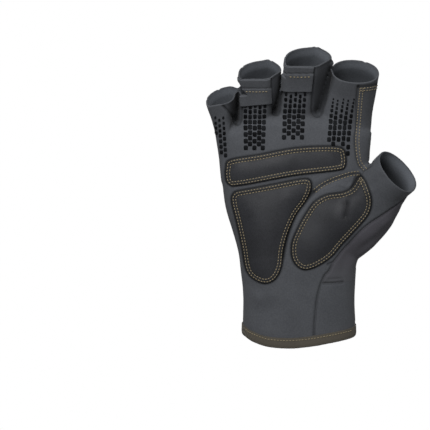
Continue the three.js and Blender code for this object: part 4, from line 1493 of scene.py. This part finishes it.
def on_view(line, trees, side):
    """A flat line thrown onto the surface: places and normals."""
    run = np.linalg.norm(np.diff(line, axis=0), axis=1).sum()
    dense = spline(line, max(int(run / SAMPLE), 8))
    found = [thrown(trees, x, z, side) for x, z in dense]
    found = [f for f in found if f is not None]
    return unbroken(np.array([f[0] for f in found]), np.array([f[1] for f in found]))


def stitch_places(places, normals, pitch=PITCH):
    """Middle, direction and normal of each stitch of a row."""
    soft = np.ones(SOFTEN) / SOFTEN
    padded = np.pad(normals, ((SOFTEN // 2, SOFTEN // 2), (0, 0)), mode="edge")
    normals = unit(np.stack([np.convolve(padded[:, k], soft, "valid") for k in range(3)], axis=1))
    run = np.concatenate([[0], np.cumsum(np.linalg.norm(np.diff(places, axis=0), axis=1))])
    count = max(int(run[-1] / pitch), 1)
    at = (np.arange(count) + 0.5) * run[-1] / count

    def value(of, where):
        return np.stack([np.interp(where, run, of[:, k]) for k in range(3)], axis=1)

    way = unit(value(places, at + 0.5) - value(places, at - 0.5))
    return value(places, at), way, unit(value(normals, at))


print("a row has a stitch every", PITCH, "mm")

# %% [markdown]
# All stitches of a kind are one mesh, because hundreds of small objects would be slow. The three patches
# are sewn on with two rows each, which follow the edge of the patch at two distances.

# %% The stitches of the patches


def thread_mesh(rows, radius=THREAD_RADIUS, length=STITCH_LENGTH):
    """One mesh of all the stitches of some rows."""
    angle = np.arange(THREAD_SIDES) / THREAD_SIDES * 2 * math.pi
    form = np.array([(s * length, math.cos(a) * r * radius, (math.sin(a) * r + h) * radius)
                     for s, r, h in STITCH_FORM for a in angle])
    faces = []
    for ring in range(len(STITCH_FORM) - 1):
        for i in range(THREAD_SIDES):
            a, b = ring * THREAD_SIDES + i, ring * THREAD_SIDES + (i + 1) % THREAD_SIDES
            faces.append((a, b, b + THREAD_SIDES, a + THREAD_SIDES))
    last = (len(STITCH_FORM) - 1) * THREAD_SIDES
    faces.append(tuple(range(THREAD_SIDES))[::-1])
    faces.append(tuple(range(last, last + THREAD_SIDES)))
    all_places, all_faces = [], []
    for middle, way, up in rows:
        side = unit(np.cross(up, way))
        for m, w, a, u in zip(middle, way, side, up):
            start = len(all_places) * len(form)
            all_places.append(m + form[:, :1] * w + form[:, 1:2] * a + form[:, 2:] * u)
            all_faces += [tuple(start + i for i in f) for f in faces]
    return np.vstack(all_places), [f[::-1] for f in all_faces]


def sew(name, rows, thread=THREAD):
    places, faces = thread_mesh(rows)
    made = finish_piece(name, places, faces, None, (thread,), smooth_angle=80)
    print(name, sum(len(r[0]) for r in rows), "stitches")
    return made


pad_rows = []
for name in PADS:
    outline = pad_outline(name, 160)
    turn = -1 if np.cross(outline[1] - outline[0], outline[20] - outline[0]) < 0 else 1
    for inset in PAD_ROWS:
        ring = shifted(np.vstack([outline[-4:], outline, outline[:4]]), turn * inset)[4:-3]
        pad_rows.append(stitch_places(*on_view(ring, pad_trees, "palm")))
sew("thread_of_pads", pad_rows)

# %% [markdown]
# The seam lines of the palm and of the back follow. A double seam is one line with two rows beside it.

# %% Stitched seams
# trees to be thrown onto, side, line, distances of the rows from the line
CROTCH_LINE = [(38.2, 115.2), (33, 114.8), (27.3, 113.3), (20.5, 110.9), (14.5, 107.9), (9.4, 104)]
INDEX_EDGE = [(35.4, 169.6), (35.1, 147.8), (34.3, 134.9), (36.1, 121.9), (40.1, 116.1)]
SEAM_ROWS = [
    ("palm", CROTCH_LINE, (1.0, -1.2)),
    ("palm", INDEX_EDGE, (1.3, 3.2)),
    ("palm", [(36.4, 170.8), (42, 171), (48.5, 171.9)], (-1.4, -3)),
    ("palm", [(-34.8, 167.2), (-27.5, 167), (-20.4, 167.2)], (0,)),
    ("palm", [(-7.6, 176.4), (-1.3, 176.2), (5.8, 176.4)], (0,)),
    ("back", [(40.5, 91), (31, 90.6), (20.6, 90.6), (8, 87.1), (-10, 81.6), (-42.8, 72.2)], (0.9, -1.5)),
    ("back", [(50.5, 168), (45.5, 160), (42.6, 148), (42.6, 134), (44, 124), (47.5, 117)], (1.4, 3.2)),
]
view_trees = [skin_tree] + pad_trees + tab_trees
rows = []
for side, line, offsets in SEAM_ROWS:
    for offset in offsets:
        path = spline(line, LINE_POINTS)
        path = shifted(path, offset) if offset else path
        rows.append(stitch_places(*on_view(path, view_trees, side)))
sew("thread_of_seams", rows)

# %% [markdown]
# On the back the side walls are sewn in with dark thread, in a row round the foot of each, and one more
# dark row holds the end of the strap. The tapes have one gold row each, close to their inner edge.

# %% Dark rows and rows on the tapes
DARK_INSET = 1.7
DARK_TOPS = {"fourchette_index_middle": 173, "fourchette_middle_ring": 171, "fourchette_ring_little": 160}
STRAP_END = [(-11.4, 18.5), (-11.7, 26.5), (-11.3, 35)]
rows = [stitch_places(*on_view(spline(STRAP_END, 30), [strap_tree], "back"))]
for name, top in DARK_TOPS.items():
    foot, _, _, *edges_behind = FOURCHETTES[name]
    outline = fourchette_outline(foot, *edges_behind)
    share = (top - foot) / (FOURCHETTE_TOP - foot)
    left, right = ((low + (high - low) * share, top) for low, high in edges_behind)
    path = spline(np.vstack([[left], outline[:-2], [right]]), 80)
    rows.append(stitch_places(*on_view(shifted(path, -DARK_INSET), [skin_tree], "back")))
sew("thread_of_back", rows, DARK_THREAD)

HEM_ROW = TAPE_WIDTH - 1.5
rows = []
for side, start, end in (("palm", -33.5, 35), ("back", -33.5, 15)):
    x = np.linspace(start, end, LINE_POINTS)
    hem_line = spline(HEM, LINE_POINTS)
    line = np.stack([x, np.interp(x, hem_line[:, 0], hem_line[:, 1]) + HEM_ROW], axis=1)
    rows.append(stitch_places(*on_view(line, [hem_tree], side)))
for line in ([(35.2, 12), (35.2, 47), (33.5, 55.5), (29.8, 57.8), (26, 55.4), (24.4, 50)],
             [(24.4, 50), (24.2, 42.5)]):
    rows.append(stitch_places(*on_view(spline(line, 40), [slit_tree], "back")))
sew("thread_of_bindings", rows)

# %% [markdown]
# The open ends of the stalls are turned in and sewn with two rows. These rows run round the stall, so they
# are thrown outwards from the middle of it.

# %% Stitched ends of the stalls
END_ROWS = (2.2, 4.4)  # below the open end
# stall, first and last direction round it in degrees: 0 is the stall's right side, 90 its palm, 270 its back
END_SPANS = {"index": (190, 350), "middle": (190, 350), "ring": (190, 350), "little": (190, 330),
             "thumb": (200, 345)}


def round_stall(name, below, first, last):
    rows = THUMB if name == "thumb" else FINGERS[name]
    before, tip = np.array(rows[-2][:3]), np.array(rows[-1][:3])
    along = unit(tip - before)
    across = THUMB_ACROSS if name == "thumb" else np.array([1.0, 0, 0])
    wide = unit(across - along * np.dot(across, along))
    front = np.cross(wide, along)
    middle = tip - along * below
    places, normals = [], []
    for angle in np.radians(np.linspace(first, last, 130)):
        way = wide * math.cos(angle) + front * math.sin(angle)
        place, normal, _, _ = skin_tree.ray_cast(Vector(middle), Vector(way))
        if place is not None:
            places.append(place)
            normals.append(normal)
    return unbroken(np.array(places), np.array(normals))


rows = []
for name, span in END_SPANS.items():
    for below in END_ROWS:
        rows.append(stitch_places(*round_stall(name, below, *span)))
sew("thread_of_stalls", rows)

# %% [markdown]
# Rubber blocks are printed on four fingers to grip a rod. They are thin pillows with a rounded edge, small
# near the tip and larger and closer together towards the palm, where every other column is set half a block
# lower, like bricks.

# %% Grip prints
GRIP_LIFT = 0.42
GRIP_SHOULDER = 0.7  # share of the height at which a block's edge turns in
GRIP_TOP = 0.9  # size of a block's top against its foot
GRIP_SUNK = -0.1
# x of the columns at the top and at the bottom, heights of the blocks in the outer columns and in those
# between, and width and height of a block at the top and at the bottom
GRIPS = {
    "index": ((21, 23.7, 27, 30, 33.4), (18.4, 21.3, 24.4, 27.5, 30.6),
              (162.2, 160, 157.6, 154.9, 151.5, 148, 144.4, 140.7, 136.9),
              (161.3, 158.9, 156.4, 153.5, 150.4, 147.2, 144.1, 140.9, 137.5, 134.1),
              (0.8, 1.1), (2.35, 2.95)),
    "middle": ((-8.7, -5.7, -2.7, 0.2, 3), (-9.9, -7.1, -4.2, -1.4, 1.3),
               (165.3, 161.8, 158.1, 154.4, 150.6, 146.6, 142.5, 138.3),
               (163.9, 160.9, 157.7, 154.6, 151.3, 148, 144.5, 140.8),
               (1.5, 2.3), (2.6, 2.85)),
    "ring": ((-34.1, -31.1, -28, -25, -22), (-33.8, -31.2, -28.4, -25.7, -23.2),
             (158, 154.7, 151.1, 147.5, 143.9, 140, 135.8, 131.6),
             (157.2, 154.1, 150.9, 147.6, 144.4, 141.1, 137.7, 134.1),
             (1.9, 2.4), (2.6, 2.9)),
    "little": ((-53, -50.6, -48), (-51.4, -48.9, -46.4),
               (150.6, 147.1, 143.8, 140.5, 137.1, 133.5, 130, 126.4),
               (149, 145.4, 142.1, 138.8, 135.3, 131.8, 128.2),
               (1.2, 1.6), (1.9, 2.5)),
}
GRIP_TAIL = [(30.6, 132), (30.4, 128)]  # two single blocks below the index finger's print
GRIP_GROWN = 0.55  # the share of the print at which the blocks are full-grown
# the corners of a block, as shares of half its width and half its height
GRIP_FORM = [(-1, -0.6), (-0.85, -0.85), (-0.55, -1), (0.55, -1), (0.85, -0.85), (1, -0.6), (1, 0.6),
             (0.85, 0.85), (0.55, 1), (-0.55, 1), (-0.85, 0.85), (-1, 0.6)]

print("prints:", ", ".join(GRIPS))

# %% [markdown]
# A block's corners are thrown onto the skin one by one, so it follows the fabric. A block that would hang
# over the edge of the glove is left out. The table's columns and rows drift and grow evenly from top to
# bottom.

# %% Print the blocks


def grip_block(x, z, wide, high):
    """The corners of a block on the skin: foot, shoulder and top."""
    corners = []
    for scale, lift in ((1, GRIP_SUNK), (1, GRIP_LIFT * GRIP_SHOULDER), (GRIP_TOP, GRIP_LIFT)):
        for i, k in GRIP_FORM:
            found = thrown([skin_tree], x + i * scale * wide / 2, z + k * scale * high / 2, "palm")
            if found is None or found[1].y > 0:
                return None
            corners.append(np.array(found[0]) + np.array(found[1]) * lift)
    return corners


def grip_spots(name):
    """Middle and size of each block of a print."""
    top_x, low_x, outer_rows, inner_rows, small, large = GRIPS[name]
    first, last = outer_rows[0], outer_rows[-1]
    spots = []
    for column in range(len(top_x)):
        for z in (inner_rows if column % 2 else outer_rows):
            down = (first - z) / (first - last)
            grown = min(max(down, 0) / GRIP_GROWN, 1)
            size = [s + (b - s) * grown for s, b in zip(small, large)]
            spots.append((top_x[column] + (low_x[column] - top_x[column]) * down, z, *size))
    if name == "index":
        spots += [(x, z, *large) for x, z in GRIP_TAIL]
    return spots


def grip_print(name):
    places, faces, shade = [], [], []
    count = len(GRIP_FORM)
    for spot in grip_spots(name):
        corners = grip_block(*spot)
        if corners is None:
            continue
        start = len(places)
        places += corners
        shade += [random.uniform(0.3, 1) ** 0.5] * len(corners)
        for level in (0, count):
            for i in range(count):
                a, b = start + level + i, start + level + (i + 1) % count
                faces.append((a, b, b + count, a + count))
        faces.append(tuple(range(start + 2 * count, start + 3 * count)))
        faces.append(tuple(range(start, start + count))[::-1])
    made = finish_piece("grip_" + name, np.array(places), faces, None, (SILICONE,),
                        smooth_angle=50, shade=shade)
    print("grip", name, len(places) // (3 * count), "blocks")
    return made


for name in GRIPS:
    grip_print(name)

# %% [markdown]
# The glove is held up in a white studio. The floor is pale paper, well below it, and the room gives a soft
# light from everywhere. To the camera both are plain white, as on a product picture, while the light that
# they give the glove stays moderate: a Light Path node tells the two apart.

# %% Floor and room
FLOOR_DEPTH = 0.3
FLOOR_CORNERS = [(-4, -3, 0), (4, -3, 0), (4, 6, 0), (-4, 6, 0)]
ROOM_LIGHT = 0.42


def white_for_camera(tree, output, other):
    """Joins a shader that lights the scene with plain white for whatever the camera sees."""
    white = add(tree, "ShaderNodeEmission", Color=(1, 1, 1, 1), Strength=1.0)
    seen = add(tree, "ShaderNodeLightPath").outputs["Is Camera Ray"]
    mixed = add(tree, "ShaderNodeMixShader", _0=seen, _1=other.outputs[0], _2=white.outputs[0])
    tree.links.new(mixed.outputs[0], tree.nodes[output].inputs["Surface"])


floor_mesh = bpy.data.meshes.new("floor")
floor_mesh.from_pydata(FLOOR_CORNERS, [], [(0, 1, 2, 3)])
floor = bpy.data.objects.new("floor", floor_mesh)
floor.location.z = -FLOOR_DEPTH
bpy.context.scene.collection.objects.link(floor)
floor_material, tree, shader = new_material("floor_paper", 0.9, Base_Color=linear("a0a0a0"),
                                            Specular_IOR_Level=0.0)
white_for_camera(tree, "Material Output", shader)
floor_mesh.materials.append(floor_material)

world = bpy.data.worlds.new("studio")
bpy.context.scene.world = world
world.use_nodes = True
tree = world.node_tree
light_of_room = tree.nodes["Background"]
light_of_room.inputs["Color"].default_value = (1, 1, 1, 1)
light_of_room.inputs["Strength"].default_value = ROOM_LIGHT
white_for_camera(tree, "World Output", light_of_room)
bpy.context.scene.view_settings.view_transform = "Standard"
print("floor", FLOOR_DEPTH, "m below the hem")

# %% [markdown]
# Two soft boxes light the glove. The key stands above and in front of the palm and shows the crowns of the
# patches. The one behind lights the linings that look out of the stalls and the back of the hand.

# %% Lights
# place, size and power
SOFTBOXES = {"key": ((-0.12, -0.5, 0.47), 0.3, 3.7), "back": ((0.15, 0.7, 0.12), 0.3, 3.2)}
LIT_PLACE = Vector((0, 0, 0.09))


def softbox(name, place, size, power):
    light = bpy.data.lights.new(name, "AREA")
    light.shape = "SQUARE"
    light.size = size
    light.energy = power
    made = bpy.data.objects.new(name, light)
    made.location = place
    made.rotation_euler = (LIT_PLACE - Vector(place)).to_track_quat("-Z", "Y").to_euler()
    bpy.context.scene.collection.objects.link(made)
    return made


for name, (place, light_size, power) in SOFTBOXES.items():
    softbox(name, place, light_size, power)
print("soft boxes:", len(SOFTBOXES))
